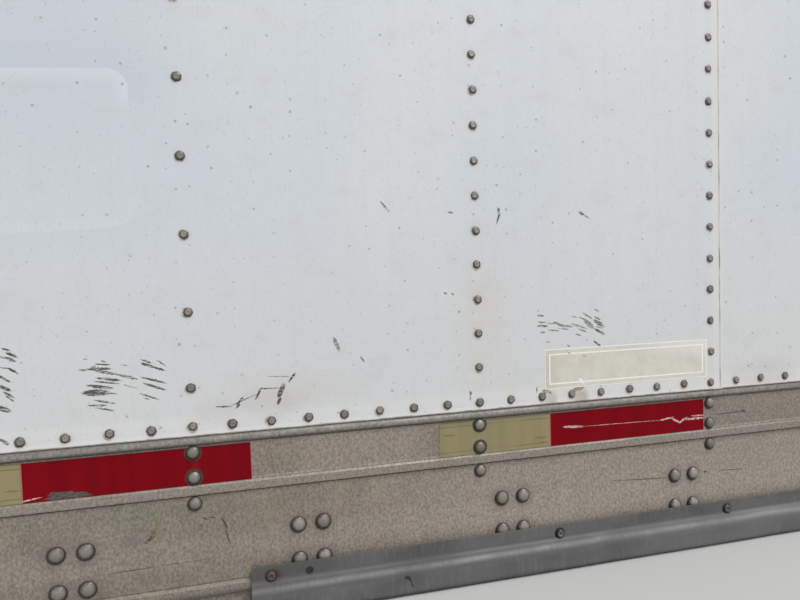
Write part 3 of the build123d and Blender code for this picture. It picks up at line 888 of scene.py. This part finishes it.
def column_step(post):
    """The spacing of the rivets in a post's column."""
    return 2 * RIVET_PITCH if post in WIDE_COLUMNS else RIVET_PITCH


def between_rivets(place, pitch):
    """0 at a rivet and 1 halfway to the next one."""
    return (1 - math.cos(2 * math.pi * place / pitch)) / 2


def bulge(x, z, settings):
    """How far the sheets stand out at a place: bays bow, rivets pull in, and edges pillow."""
    bow_high, ripple_wide, ripple_high, flat_edge = 620 * MM, 170 * MM, 110 * MM, 130 * MM
    row_reach, column_reach, rivet_reach, column_half = 17 * MM, 15 * MM, 8 * MM, 40 * MM
    share = (x - POST_XS[0]) / POST_PITCH
    bow = math.sin(math.pi * share) ** 2
    uneven = noise.noise(Vector((math.floor(share) * 5.3, z / bow_high, 0.4)))
    ripple = noise.noise(Vector((x / ripple_wide, z / ripple_high, 3.0)))
    ends = smooth((z - SHEET_FOOT) / flat_edge) * smooth((SHEET_TOP - z) / flat_edge)
    out = settings.bay_bulge * bow * ends * (0.55 + 0.9 * uneven + 0.22 * ripple)
    for dent_x, dent_z, reach, depth in DENTS:
        gap = math.hypot(x - dent_x, z - dent_z)
        if gap < 2.5 * reach:
            out += depth * bow * bell(gap, reach)
    for row in (BOTTOM_ROW, TOP_ROW):
        between = between_rivets(x, RIVET_PITCH)
        out += settings.pillow * between * bell(z - row, row_reach)
        out -= settings.dimple * (1 - between) ** 6 * bell(z - row, rivet_reach)
    for post in POST_XS:
        gap = abs(x - post)
        if gap < column_half and z > COLUMN_START - RIVET_PITCH / 2:
            between = between_rivets(z - COLUMN_START, column_step(post))
            out += 0.6 * settings.pillow * between * bell(gap, column_reach)
            out -= settings.dimple * (1 - between) ** 6 * bell(gap, rivet_reach)
    return out


def lap_step(x):
    """How far the long sheet stands out where it rides over the short one."""
    return SHEET_WALL * max(0.0, min(1.0, (x - RAMP_START) / (RAMP_END - RAMP_START)))


def long_front(x, z, settings):
    """Where the long sheet's face is. Its bows calm down towards the lap, and some stays on it."""
    ease, least = 20 * MM, 0.35
    free = smooth((RAMP_START - x) / ease)
    return SHEET_FRONT - lap_step(x) - bulge(x, z, settings) * max(free, least)


def short_front(x, z, settings):
    """Where the short sheet's face is. It is flat under the lap."""
    ease = 25 * MM
    return SHEET_FRONT - bulge(x, z, settings) * smooth((x - LAP_END) / ease)


def grid_lines(low, high, pitch, anchor):
    """Evenly spaced lines that pass through the anchor, with both edges added."""
    least_gap = 0.3 * pitch
    lines = [low]
    step = math.ceil((low - anchor) / pitch)
    while anchor + step * pitch < high:
        line = anchor + step * pitch
        if line - low > least_gap and high - line > least_gap:
            lines.append(line)
        step += 1
    return lines + [high]


def to_mesh(made, name):
    """Turns what was built into a mesh."""
    mesh = bpy.data.meshes.new(name)
    made.to_mesh(mesh)
    made.free()
    return mesh


def sheet_mesh(name, xs, zs, front, back):
    """A closed sheet from its grid lines and the functions of its two faces."""
    made = bmesh.new()
    outer = [[made.verts.new((x, front(x, z), z)) for z in zs] for x in xs]
    inner = [[made.verts.new((x, back(x, z), z)) for z in zs] for x in xs]
    last_x, last_z = len(xs) - 1, len(zs) - 1
    for i in range(last_x):
        for j in range(last_z):
            made.faces.new((outer[i][j], outer[i + 1][j], outer[i + 1][j + 1], outer[i][j + 1]))
            made.faces.new((inner[i][j], inner[i][j + 1], inner[i + 1][j + 1], inner[i + 1][j]))
    for i in range(last_x):
        made.faces.new((outer[i][0], inner[i][0], inner[i + 1][0], outer[i + 1][0]))
        made.faces.new((outer[i][last_z], outer[i + 1][last_z], inner[i + 1][last_z], inner[i][last_z]))
    for j in range(last_z):
        made.faces.new((outer[0][j], outer[0][j + 1], inner[0][j + 1], inner[0][j]))
        made.faces.new((outer[last_x][j], inner[last_x][j], inner[last_x][j + 1], outer[last_x][j + 1]))
    return to_mesh(made, name)


def ringed_mesh(made, name, rings, pole=None):
    """Joins rings of corners into a closed mesh. A pole closes the first ring where there is one."""
    count = len(rings[0])
    if pole:
        for n in range(count):
            made.faces.new((pole, rings[0][n], rings[0][(n + 1) % count]))
    for near, far in zip(rings, rings[1:]):
        for n in range(count):
            after = (n + 1) % count
            made.faces.new((near[n], near[after], far[after], far[n]))
    if not pole:
        made.faces.new(rings[0])
    made.faces.new(rings[-1])
    bmesh.ops.recalc_face_normals(made, faces=made.faces)
    return to_mesh(made, name)


def lathe(profile, segments, outward=-1, corners=0.0):
    """A unit head turned from radius and height points. It faces -Y, or +Y where outward is 1."""
    made = bmesh.new()
    edge = made.verts.layers.float.new("edge")
    pole = made.verts.new((0.0, outward * profile[0][1], 0.0))
    rings = []
    for radius, height in profile[1:]:
        ring = []
        for n in range(segments):
            turn = 2 * math.pi * n / segments
            reach = radius * (1 + corners * math.cos(6 * turn))
            corner = made.verts.new((reach * math.cos(turn), outward * height, reach * math.sin(turn)))
            corner[edge] = radius if height > 0 else 1.0
            ring.append(corner)
        rings.append(ring)
    return new_object("unit_head", ringed_mesh(made, "unit_head", rings, pole))


# Profiles of the heads as shares of their radius and height, from the middle of the top to the foot
RIVET_PROFILE = (
    (0.0, 0.84), (0.24, 0.88), (0.40, 1.0), (0.56, 0.94), (0.64, 0.58),
    (0.86, 0.40), (1.0, 0.16), (1.0, -0.12),
)
SCREW_PROFILE = (
    (0.0, 0.42), (0.26, 0.42), (0.34, 0.86), (0.50, 1.0), (0.72, 0.92),
    (0.92, 0.62), (1.0, 0.30), (1.0, -0.1),
)
DOME_PROFILE = (
    (0.0, 1.0), (0.24, 0.975), (0.46, 0.90), (0.66, 0.77), (0.83, 0.58), (0.95, 0.38), (1.0, 0.20),
)
BOLT_PROFILE = DOME_PROFILE + ((1.0, 0.0), (0.44, 0.0), (0.44, -1.75))
POST_BOLT_PROFILE = DOME_PROFILE + ((1.0, -0.05),)
COLLAR_PROFILE = (
    (0.0, 1.0), (0.50, 1.0), (0.55, 0.96), (0.55, 0.78), (0.84, 0.76),
    (0.92, 0.66), (0.97, 0.20), (1.0, 0.14), (1.0, 0.0),
)


def heads_tree():
    """Geometry Nodes that set a head on each point, each a little different from the next."""
    name = "Heads on points"
    if name in bpy.data.node_groups:
        return bpy.data.node_groups[name]
    tree = bpy.data.node_groups.new(name, "GeometryNodeTree")
    inputs = (
        ("Points", "Geometry"),
        ("Head", "Object"),
        ("Head Radius", "Float"),
        ("Head Height", "Float"),
        ("Size Variation", "Float"),
        ("Tilt", "Float"),
        ("Seed", "Int"),
        ("Finish", "Material"),
    )
    for socket, kind in inputs:
        tree.interface.new_socket(socket, in_out="INPUT", socket_type="NodeSocket" + kind)
    tree.interface.new_socket("Heads", in_out="OUTPUT", socket_type="NodeSocketGeometry")
    given = tree.nodes.new("NodeGroupInput").outputs
    seed, tilt, variation = given["Seed"], given["Tilt"], given["Size Variation"]

    def make(kind, links, output=0, **settings):
        """Adds a node with its settings and inputs, and gives one of its outputs."""
        node = tree.nodes.new(kind)
        for key, value in settings.items():
            setattr(node, key, value)
        for socket, value in links:
            if isinstance(value, bpy.types.NodeSocket):
                tree.links.new(value, node.inputs[socket])
            else:
                node.inputs[socket].default_value = value
        return node.outputs[output]

    def calculate(operation, first, second):
        """One step of sums."""
        return make("ShaderNodeMath", [(0, first), (1, second)], operation=operation)

    def between(low, high, kind):
        """A random value for each head."""
        links = [("Min", low), ("Max", high), ("Seed", seed)]
        return make("FunctionNodeRandomValue", links, "Value", data_type=kind)

    negative = calculate("MULTIPLY", tilt, -1.0)
    low = make("ShaderNodeCombineXYZ", [(0, negative), (1, 0.0), (2, negative)])
    high = make("ShaderNodeCombineXYZ", [(0, tilt), (1, 2 * math.pi), (2, tilt)])
    rotation = make("FunctionNodeEulerToRotation", [(0, between(low, high, "FLOAT_VECTOR"))])
    size = between(calculate("SUBTRACT", 1.0, variation), calculate("ADD", 1.0, variation), "FLOAT")
    radius = calculate("MULTIPLY", given["Head Radius"], size)
    scale = make("ShaderNodeCombineXYZ", [(0, radius), (1, given["Head Height"]), (2, radius)])
    head = make("GeometryNodeObjectInfo", [("Object", given["Head"])], "Geometry")
    placed = make(
        "GeometryNodeInstanceOnPoints",
        [("Points", given["Points"]), ("Instance", head), ("Rotation", rotation), ("Scale", scale)],
    )
    toned = make(
        "GeometryNodeStoreNamedAttribute",
        [("Geometry", placed), ("Name", "tone"), ("Value", between(0.0, 1.0, "FLOAT"))],
        data_type="FLOAT",
        domain="INSTANCE",
    )
    real = make("GeometryNodeRealizeInstances", [("Geometry", toned)])
    dressed = make("GeometryNodeSetMaterial", [("Geometry", real), ("Material", given["Finish"])])
    tree.links.new(dressed, tree.nodes.new("NodeGroupOutput").inputs[0])
    return tree


def set_heads(name, places, head, radius, height, material, seed, variation=0.04, tilt=0.05):
    """Makes one piece of a head at each place, then drops the unit head."""
    points = bpy.data.meshes.new(name)
    points.from_pydata(places, [], [])
    carrier = new_object(name + "_points", points)
    modifier = carrier.modifiers.new("Heads", "NODES")
    modifier.node_group = heads_tree()
    values = {
        "Head": head,
        "Head Radius": radius,
        "Head Height": height,
        "Size Variation": variation,
        "Tilt": tilt,
        "Seed": seed,
        "Finish": material,
    }
    for item in modifier.node_group.interface.items_tree:
        if item.in_out == "INPUT" and item.name in values:
            modifier[item.identifier] = values[item.name]
    mesh = evaluated_mesh(carrier)
    for unused in (carrier, head):
        bpy.data.objects.remove(unused)
    if not mesh.polygons:
        raise RuntimeError(f"{name} came out with no faces")
    return new_piece(name, mesh, material)


def evenly(start, end, step):
    """Values from the start up to the end, a step apart."""
    values = []
    while start < end:
        values.append(start)
        start += step
    return values


class SIDEWALL_OT_sheets(bpy.types.Operator):
    """Form the two outer sheets, bowed between the posts and pulled in at the rivets"""

    bl_idname = "sidewall.sheets"
    bl_label = "Outer Sheets"

    def execute(self, context):
        settings = context.scene.side_wall_sheets
        material = sheet_paint(settings, "white_enamel")
        zs = grid_lines(SHEET_FOOT, COLUMN_START, settings.fine_grid, BOTTOM_ROW)[:-1]
        zs += grid_lines(COLUMN_START, SHEET_TOP, settings.coarse_grid, COLUMN_START)
        xs = grid_lines(LONG_LOW.x, RAMP_START, settings.grid, 0.0)
        xs += grid_lines(RAMP_END, LAP_END, settings.grid, 0.0)
        mesh = sheet_mesh(
            "skin_long_formed", xs, zs,
            lambda x, z: long_front(x, z, settings), lambda x, z: SHEET_BACK - lap_step(x),
        )
        piece = new_piece("skin_long_formed", mesh, material)
        assign_zones(mesh, mark_zones(settings))
        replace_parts(piece, "skin_long")
        xs = grid_lines(SHORT_LOW.x, LAP_END, settings.grid, 0.0)[:-1]
        xs += grid_lines(LAP_END, SHORT_HIGH.x, settings.grid, 0.0)
        mesh = sheet_mesh(
            "skin_short_formed", xs, zs,
            lambda x, z: short_front(x, z, settings), lambda x, z: SHEET_BACK,
        )
        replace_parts(new_piece("skin_short_formed", mesh, material), "skin_short")
        return {"FINISHED"}


class SIDEWALL_OT_rivets(bpy.types.Operator):
    """Set the rivets of the outer sheets, the liner and the scuff band"""

    bl_idname = "sidewall.rivets"
    bl_label = "Rivets"

    def execute(self, context):
        settings = context.scene.side_wall_fasteners
        end_margin, liner_margin, band_margin, band_inset = 10 * MM, 60 * MM, 20 * MM, 7 * MM
        chance = random.Random(settings.seed)
        first = math.ceil((WALL_START + end_margin) / RIVET_PITCH)
        last = math.floor((WALL_END - end_margin) / RIVET_PITCH)
        spots = [(n * RIVET_PITCH, z) for z in (BOTTOM_ROW, TOP_ROW) for n in range(first, last + 1)]
        for x in POST_XS:
            spots += [(x, z) for z in evenly(COLUMN_START, TOP_ROW - RIVET_PITCH / 2, column_step(x))]
        places = []
        stray = 0.9 * MM
        for x, z in spots:
            front = SHEET_FRONT - (SHEET_WALL if RAMP_END < x < LAP_END else 0.0) + SEAT
            step_x, step_z = (chance.uniform(-stray, stray) for _ in range(2))
            places.append((x + RIVET_SHIFT + step_x, front, z + step_z))
        set_heads(
            "skin_rivets", places, lathe(RIVET_PROFILE, 12, corners=0.045),
            settings.rivet_radius, settings.rivet_height,
            head_paint("rivet_head", (140, 134, 128), (72, 66, 60), 0.3, reach=(0.50, 0.90)),
            settings.seed, variation=0.06, tilt=0.10,
        )

        pitch = 6 * RIVET_PITCH
        heights = evenly(SCUFF_HIGH.z + pitch / 2, LINER_HIGH.z - liner_margin, pitch)
        set_heads(
            "liner_rivets", [(x, LINER_HIGH.y - SEAT, z) for x in POST_XS for z in heights],
            lathe(RIVET_PROFILE, 16, outward=1), settings.liner_rivet_radius, settings.liner_rivet_height,
            head_paint("liner_rivet_head", (206, 206, 202), (168, 166, 160), 0.0),
            settings.seed + 1,
        )

        band_face = LINER_HIGH.y + BAND_WALL
        rows = (SCUFF_LOW.z + band_inset, SCUFF_HIGH.z - band_inset)
        xs = evenly(POST_XS[0] + RIVET_PITCH, WALL_END - band_margin, 4 * RIVET_PITCH)
        set_heads(
            "scuff_band_rivets", [(x, band_face, z) for z in rows for x in xs],
            lathe(RIVET_PROFILE, 16, outward=1), 0.8 * settings.rivet_radius, 0.8 * settings.rivet_height,
            head_paint("scuff_rivet_head", (172, 172, 172), (110, 110, 110), 0.6),
            settings.seed + 2,
        )
        return {"FINISHED"}


class SIDEWALL_OT_bolts(bpy.types.Operator):
    """Set the crossmember bolts with their collars, and the bolts through the posts"""

    bl_idname = "sidewall.bolts"
    bl_label = "Bolts"

    def execute(self, context):
        settings = context.scene.side_wall_fasteners
        material = head_paint("bolt_head", (156, 149, 142), (58, 52, 48), 0.55, reach=(0.42, 1.05))
        set_heads(
            "crossmember_bolts", [(x, RAIL_FACE, z) for x, z in CLIP_BOLTS], lathe(BOLT_PROFILE, 28),
            settings.bolt_radius, settings.bolt_height, material,
            settings.seed + 3, variation=0.015, tilt=0.0,
        )
        plate_back = PLATE_LOW.y + CLIP_WALL
        set_heads(
            "bolt_collars", [(x, plate_back, z) for x, z in CLIP_BOLTS],
            lathe(COLLAR_PROFILE, 24, outward=1), settings.collar_radius, settings.collar_height,
            material, settings.seed + 4, variation=0.02, tilt=0.0,
        )
        set_heads(
            "post_bolts", [(x, RAIL_FACE, z) for x, z in POST_BOLTS], lathe(POST_BOLT_PROFILE, 28),
            settings.post_bolt_radius, settings.post_bolt_height,
            head_paint("post_bolt_head", (138, 132, 126), (62, 57, 52), 0.5, reach=(0.42, 1.05)),
            settings.seed + 5, variation=0.01, tilt=0.0,
        )
        return {"FINISHED"}


def rounded_path(points, radii, steps):
    """A path in the Y-Z plane with its inner corners rounded."""
    path = [Vector(points[0])]
    for before, corner, after, radius in zip(points, points[1:], points[2:], radii):
        corner = Vector(corner)
        into = (Vector(before) - corner).normalized()
        out = (Vector(after) - corner).normalized()
        half = into.angle(out) / 2
        start = corner + into * radius / math.tan(half)
        centre = corner + (into + out).normalized() * radius / math.sin(half)
        end = corner + out * radius / math.tan(half)
        first = start - centre
        turn = first.angle_signed(end - centre)
        for n in range(steps + 1):
            path.append(centre + Matrix.Rotation(-turn * n / steps, 2) @ first)
    path.append(Vector(points[-1]))
    return path


def bar_profile():
    """The guard bar's closed section: a flange, a shoulder, a face and a return."""
    bend_radius, foot_radius, steps = 13.5 * MM, 5.0 * MM, 9
    depth, flange_high, return_deep = 15.0 * MM, 22.5 * MM, 12.0 * MM
    inner_y, top = BAR_HIGH.y, BAR_HIGH.z
    outer_y, bend = inner_y - depth, top - flange_high
    face_top, face_foot = bend - 8.0 * MM, bend - 41.0 * MM
    corners = [(inner_y, top), (inner_y, bend), (outer_y, face_top), (outer_y, face_foot)]
    corners.append((outer_y + return_deep, face_foot))
    inner = rounded_path(corners, (bend_radius, bend_radius, foot_radius), steps)
    outer = []
    for number, point in enumerate(inner):
        before = inner[max(number - 1, 0)]
        after = inner[min(number + 1, len(inner) - 1)]
        along = (after - before).normalized()
        outer.append(point + Vector((along.y, -along.x)) * BAR_WALL)
    return outer + inner[::-1]


def finer(path, longest):
    """The same closed path with its long runs cut into shorter ones."""
    result = []
    for start, end in zip(path, path[1:] + path[:1]):
        cuts = max(1, math.ceil((end - start).length / longest))
        result += [start.lerp(end, n / cuts) for n in range(cuts)]
    return result


def wave(along, pattern, up=0.0):
    """Noise from 0 to 1. Each pattern's number gives a wave of its own."""
    return (noise.noise(Vector((along, pattern, up))) + 1) / 2


def bar_wave(x, y, z):
    """The bar's wear: its outer face waves in and out a little, and its edges are not quite straight."""
    flange, face_ease, top_ease, foot_ease = 6 * MM, 8 * MM, 8 * MM, 10 * MM
    slow, quick, top_wear, foot_wear = 1.0 * MM, 0.30 * MM, 0.7 * MM, 0.9 * MM
    forward = smooth((BAR_HIGH.y - flange - y) / face_ease)
    inward = slow * wave(x / 0.21, 0.0, z / 0.09) + quick * wave(x / 0.05, 4.0, z / 0.03)
    for dent_x, dent_z, reach, depth in BAR_DENTS:
        inward += depth * MM * bell(math.hypot(x - dent_x * MM, z - dent_z * MM), reach * MM)
    top = smooth((z - (BAR_HIGH.z - top_ease)) / top_ease)
    foot = smooth(((BAR_LOW.z + foot_ease) - z) / foot_ease)
    up = foot * foot_wear * wave(x / 0.19, 2.0) - top * top_wear * wave(x / 0.12, 9.0)
    return forward * inward, up


def drilled(mesh):
    """The bar's mesh with its spare hole through the flange."""
    radius, depth = 3.4 * MM, 12 * MM
    made = bmesh.new()
    place = Matrix.Translation((SPARE_HOLE_X, BAR_HIGH.y - BAR_WALL / 2, SCREW_Z))
    bmesh.ops.create_cone(
        made, cap_ends=True, segments=20, radius1=radius, radius2=radius, depth=depth,
        matrix=place @ Matrix.Rotation(math.pi / 2, 4, "X"),
    )
    bar = new_object("bar_blank", mesh)
    bit = new_object("drill", to_mesh(made, "drill"))
    cut = bar.modifiers.new("Spare hole", "BOOLEAN")
    cut.object = bit
    cut.operation = "DIFFERENCE"
    cut.solver = "EXACT"
    result = evaluated_mesh(bar)
    for part in (bar, bit):
        bpy.data.objects.remove(part)
    return result


class SIDEWALL_OT_guard_bar(bpy.types.Operator):
    """Roll the guard bar with its waves and dents, and drive its screws"""

    bl_idname = "sidewall.guard_bar"
    bl_label = "Guard Bar"

    def execute(self, context):
        longest, pitch = 4.0 * MM, 7.0 * MM
        profile = finer(bar_profile(), longest)
        made = bmesh.new()
        rings = []
        for x in grid_lines(BAR_LOW.x, BAR_HIGH.x, pitch, 0.0):
            ring = []
            for point in profile:
                inward, up = bar_wave(x, point.x, point.y)
                ring.append(made.verts.new((x, point.x + inward, point.y + up)))
            rings.append(ring)
        mesh = drilled(ringed_mesh(made, "guard_bar_rolled", rings))
        material = galvanised_paint(context.scene.side_wall_metal)
        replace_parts(new_piece("guard_bar_rolled", mesh, material, 50.0), "guard_bar")

        settings = context.scene.side_wall_fasteners
        flange_face = BAR_HIGH.y - BAR_WALL
        set_heads(
            "bar_screws", [(x, flange_face, SCREW_Z) for x in SCREW_XS], lathe(SCREW_PROFILE, 24),
            settings.screw_radius, settings.screw_height,
            head_paint("screw_head", (118, 115, 113), (32, 29, 27), 0.5, rust=SCREW_XS[0] / MM),
            settings.seed + 6, variation=0.03, tilt=0.08,
        )
        return {"FINISHED"}


class SIDEWALL_OT_rails(bpy.types.Operator):
    """Finish the rails, posts, foam, clips, liner and scuff band"""

    bl_idname = "sidewall.rails"
    bl_label = "Rails and Core"

    def execute(self, context):
        metal = context.scene.side_wall_metal
        finish_node("bottom_rail", aluminium_paint("rail_mill_finish", metal.aluminium, True))
        finish_node("top_rail", aluminium_paint("top_rail_mill_finish", shade(150, 146, 140), False))
        upright, lengthwise = (1.0, 1.0, 0.1), (0.08, 1.0, 1.0)
        posts = plain_finish("post_mill_finish", (158, 158, 160), 0.5, 0.42, 3.0, 0.05, 0.14, upright)
        foam = foam_paint()
        for number in range(1, POST_COUNT + 1):
            finish_node(f"post_{number}", posts)
            finish_node(f"foam_{number}", foam)
        coated = plain_finish("clip_black_coating", (48, 47, 46), 0.1, 0.5, 2.6, 0.15, 0.5)
        for number in range(1, CLIP_COUNT + 1):
            finish_node(f"clip_{number}", coated)
        finish_node("liner", plain_finish("liner_pebble", (214, 215, 211), 0.0, 0.38, 4.2, 0.5, 0.05))
        band = plain_finish("scuff_mill_finish", (166, 166, 165), 0.55, 0.4, 2.0, 0.08, 0.2, lengthwise)
        finish_node("scuff_band", band)
        return {"FINISHED"}


class SIDEWALL_OT_tapes(bpy.types.Operator):
    """Finish the reflective tape strips"""

    bl_idname = "sidewall.tapes"
    bl_label = "Tape"

    def execute(self, context):
        metal = context.scene.side_wall_metal
        red = tape_paint("tape_red_film", metal.red, True)
        white = tape_paint("tape_white_film", metal.white, False)
        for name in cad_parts:
            if name.startswith("tape_red"):
                finish_node(name, red)
            elif name.startswith("tape_white"):
                finish_node(name, white)
        return {"FINISHED"}


def placard_mesh(low, high, settings):
    """A thin film that follows the sheet behind it, closed on all sides."""
    film = 0.25 * MM
    xs = grid_lines(low.x, high.x, settings.grid, 0.0)
    zs = grid_lines(low.z, high.z, settings.fine_grid, BOTTOM_ROW)
    return sheet_mesh(
        "placard_film", xs, zs,
        lambda x, z: long_front(x, z, settings) - film, lambda x, z: long_front(x, z, settings) + film,
    )


def sealant_mesh():
    """An uneven bead of sealant in the corner along the lap's edge."""
    chance = random.Random(3)
    made = bmesh.new()
    rings = []
    steps, pitch, height, overlap, swell = 6, 6.0 * MM, 1.35 * MM, 0.2 * MM, 30 * MM
    count = int((SHEET_TOP - SHEET_FOOT) / pitch)
    back = SHEET_FRONT + SEAT
    for n in range(count + 1):
        z = SHEET_FOOT + (SHEET_TOP - SHEET_FOOT) * n / count
        reach = (3.6 + 1.1 * noise.noise(Vector((0.0, 0.0, z / swell))) + chance.uniform(-0.12, 0.12)) * MM
        ring = [made.verts.new((LAP_END - overlap, back, z))]
        for k in range(steps + 1):
            turn = math.pi / 2 * k / steps
            across, out = reach * math.sin(turn), height * math.cos(turn)
            ring.append(made.verts.new((LAP_END + across, back - out, z)))
        rings.append(ring)
    return ringed_mesh(made, "seam_sealant", rings)


class SIDEWALL_OT_placard(bpy.types.Operator):
    """Add the bare placard film and the sealant along the lap"""

    bl_idname = "sidewall.placard"
    bl_label = "Placard and Sealant"

    def execute(self, context):
        low = Vector((57.5, 0.0, 183.5)) * MM
        high = Vector((349.0, 0.0, 245.0)) * MM
        material = placard_paint(context.scene.side_wall_metal, low, high)
        mesh = placard_mesh(low, high, context.scene.side_wall_sheets)
        new_piece("placard_film", mesh, material)
        new_piece("seam_sealant", sealant_mesh(), seal_paint(), 60.0)
        return {"FINISHED"}


def seen_rays(tree, kinds):
    """1 for each of these kinds of ray, so that metal shows the same background as the camera."""
    path = tree.nodes.new("ShaderNodeLightPath")
    result = path.outputs[kinds[0]]
    for kind in kinds[1:]:
        either = tree.nodes.new("ShaderNodeMath")
        either.operation = "MAXIMUM"
        tree.links.new(result, either.inputs[0])
        tree.links.new(path.outputs[kind], either.inputs[1])
        result = either.outputs[0]
    return result


# The camera: its turn, tilt and roll in degrees, its place in millimetres, and its lens
CAMERA_ANGLES = (14.229, -2.594, 1.745)
CAMERA_PLACE = (-381.6, -895.6, 369.9)
CAMERA_LENS = 27.451

# Colours of the lamps, of the even light and of the plain background
LAMP_COLOUR = (1.0, 0.985, 0.96)
SKY_COLOUR = (0.94, 0.97, 1.0, 1.0)
BACKGROUND_COLOUR = (0.86, 0.87, 0.88, 1.0)


def lay_floor(settings):
    """A round plain floor just below the wall's lowest edge."""
    reach, corners = 14.0, 96
    level = CAD_LOW.z - 1.0 * MM
    turns = [2 * math.pi * n / corners for n in range(corners)]
    rim = [(reach * math.cos(turn), reach * math.sin(turn), level) for turn in turns]
    mesh = bpy.data.meshes.new("floor")
    mesh.from_pydata(rim, [], [list(range(corners))])
    material = bpy.data.materials.new("floor_plain")
    material.use_nodes = True
    tree = material.node_tree
    shader = tree.nodes["Principled BSDF"]
    shader.inputs["Roughness"].default_value = 0.9
    tint = tree.nodes.new("ShaderNodeMix")
    tint.data_type = "RGBA"
    tint.inputs["A"].default_value = settings.floor_bounce
    tint.inputs["B"].default_value = settings.floor
    tree.links.new(seen_rays(tree, ("Is Camera Ray", "Is Glossy Ray")), tint.inputs["Factor"])
    tree.links.new(tint.outputs["Result"], shader.inputs["Base Color"])
    mesh.materials.append(material)
    new_object("floor", mesh)


def light_world(settings):
    """An even light, with a plain pale background for the camera and in metal."""
    world = bpy.data.worlds.new("studio")
    bpy.context.scene.world = world
    world.use_nodes = True
    nodes, links = world.node_tree.nodes, world.node_tree.links
    light = nodes["Background"]
    light.inputs["Color"].default_value = SKY_COLOUR
    light.inputs["Strength"].default_value = settings.sky
    seen = nodes.new("ShaderNodeBackground")
    seen.inputs["Color"].default_value = BACKGROUND_COLOUR
    mixed = nodes.new("ShaderNodeMixShader")
    shown = seen_rays(world.node_tree, ("Is Camera Ray", "Is Glossy Ray", "Is Transmission Ray"))
    links.new(shown, mixed.inputs[0])
    links.new(light.outputs[0], mixed.inputs[1])
    links.new(seen.outputs[0], mixed.inputs[2])
    links.new(mixed.outputs[0], nodes["World Output"].inputs[0])


class SIDEWALL_OT_stage(bpy.types.Operator):
    """Lay the floor and set the lamps, the sky and the camera"""

    bl_idname = "sidewall.stage"
    bl_label = "Stage"

    def execute(self, context):
        settings = context.scene.side_wall_stage
        context.scene.view_settings.view_transform = "Standard"
        lay_floor(settings)
        light_world(settings)
        distance = 4.0

        # Each lamp: its name, where it shines from, its strength, and how wide it looks in degrees
        for name, source, energy, softness in (
            ("key", (0.55, -0.80, 1.25), settings.key, 34),
            ("back", (-0.60, 1.0, 1.05), settings.back, 50),
        ):
            lamp = bpy.data.lights.new(name, "SUN")
            lamp.energy = energy
            lamp.angle = math.radians(softness)
            lamp.color = LAMP_COLOUR
            holder = new_object(name, lamp)
            holder.rotation_euler = Vector(source).to_track_quat("Z", "Y").to_euler()
            holder.location = Vector(source) * distance

        yaw, pitch, roll = (math.radians(part) for part in CAMERA_ANGLES)
        ahead = Vector((math.sin(yaw) * math.cos(pitch), math.cos(yaw) * math.cos(pitch), math.sin(pitch)))
        level_right = Vector((math.cos(yaw), -math.sin(yaw), 0.0))
        down = ahead.cross(level_right)
        right = math.cos(roll) * level_right + math.sin(roll) * down
        up = math.sin(roll) * level_right - math.cos(roll) * down
        lens = bpy.data.cameras.new("camera")
        lens.sensor_width = 36.0
        lens.lens = CAMERA_LENS
        lens.clip_start = 0.02
        camera = new_object("camera", lens)
        turned = Matrix((right, up, -ahead)).transposed().to_4x4()
        camera.matrix_world = Matrix.Translation(Vector(CAMERA_PLACE) * MM) @ turned
        context.scene.camera = camera
        return {"FINISHED"}


class SIDEWALL_PT_panel(bpy.types.Panel):
    """Lists the steps that dress the side wall section."""

    bl_idname = "SIDEWALL_PT_panel"
    bl_label = "Side Wall"
    bl_space_type = "VIEW_3D"
    bl_region_type = "UI"
    bl_category = "Side Wall"

    def draw(self, context):
        for step in STEPS:
            self.layout.operator(step.bl_idname)
        for group in GROUPS:
            settings = getattr(context.scene, group)
            for name in settings.__annotations__:
                self.layout.prop(settings, name)


STEPS = (
    SIDEWALL_OT_stage,
    SIDEWALL_OT_sheets,
    SIDEWALL_OT_rivets,
    SIDEWALL_OT_bolts,
    SIDEWALL_OT_guard_bar,
    SIDEWALL_OT_rails,
    SIDEWALL_OT_tapes,
    SIDEWALL_OT_placard,
)
GROUPS = {
    "side_wall_sheets": SideWallSheets,
    "side_wall_fasteners": SideWallFasteners,
    "side_wall_metal": SideWallMetal,
    "side_wall_stage": SideWallStage,
}
CLASSES = (*GROUPS.values(), *STEPS, SIDEWALL_PT_panel)


def register():
    """Registers the settings, the steps and the panel."""
    for item in CLASSES:
        bpy.utils.register_class(item)
    for name, group in GROUPS.items():
        setattr(bpy.types.Scene, name, PointerProperty(type=group))


def unregister():
    """Takes them away again."""
    for name in GROUPS:
        delattr(bpy.types.Scene, name)
    for item in reversed(CLASSES):
        bpy.utils.unregister_class(item)


def main():
    """Runs each step in order."""
    register()
    bpy.ops.sidewall.stage()
    bpy.ops.sidewall.sheets()
    bpy.ops.sidewall.rivets()
    bpy.ops.sidewall.bolts()
    bpy.ops.sidewall.guard_bar()
    bpy.ops.sidewall.rails()
    bpy.ops.sidewall.tapes()
    bpy.ops.sidewall.placard()


if __name__ == "__main__":
    main()
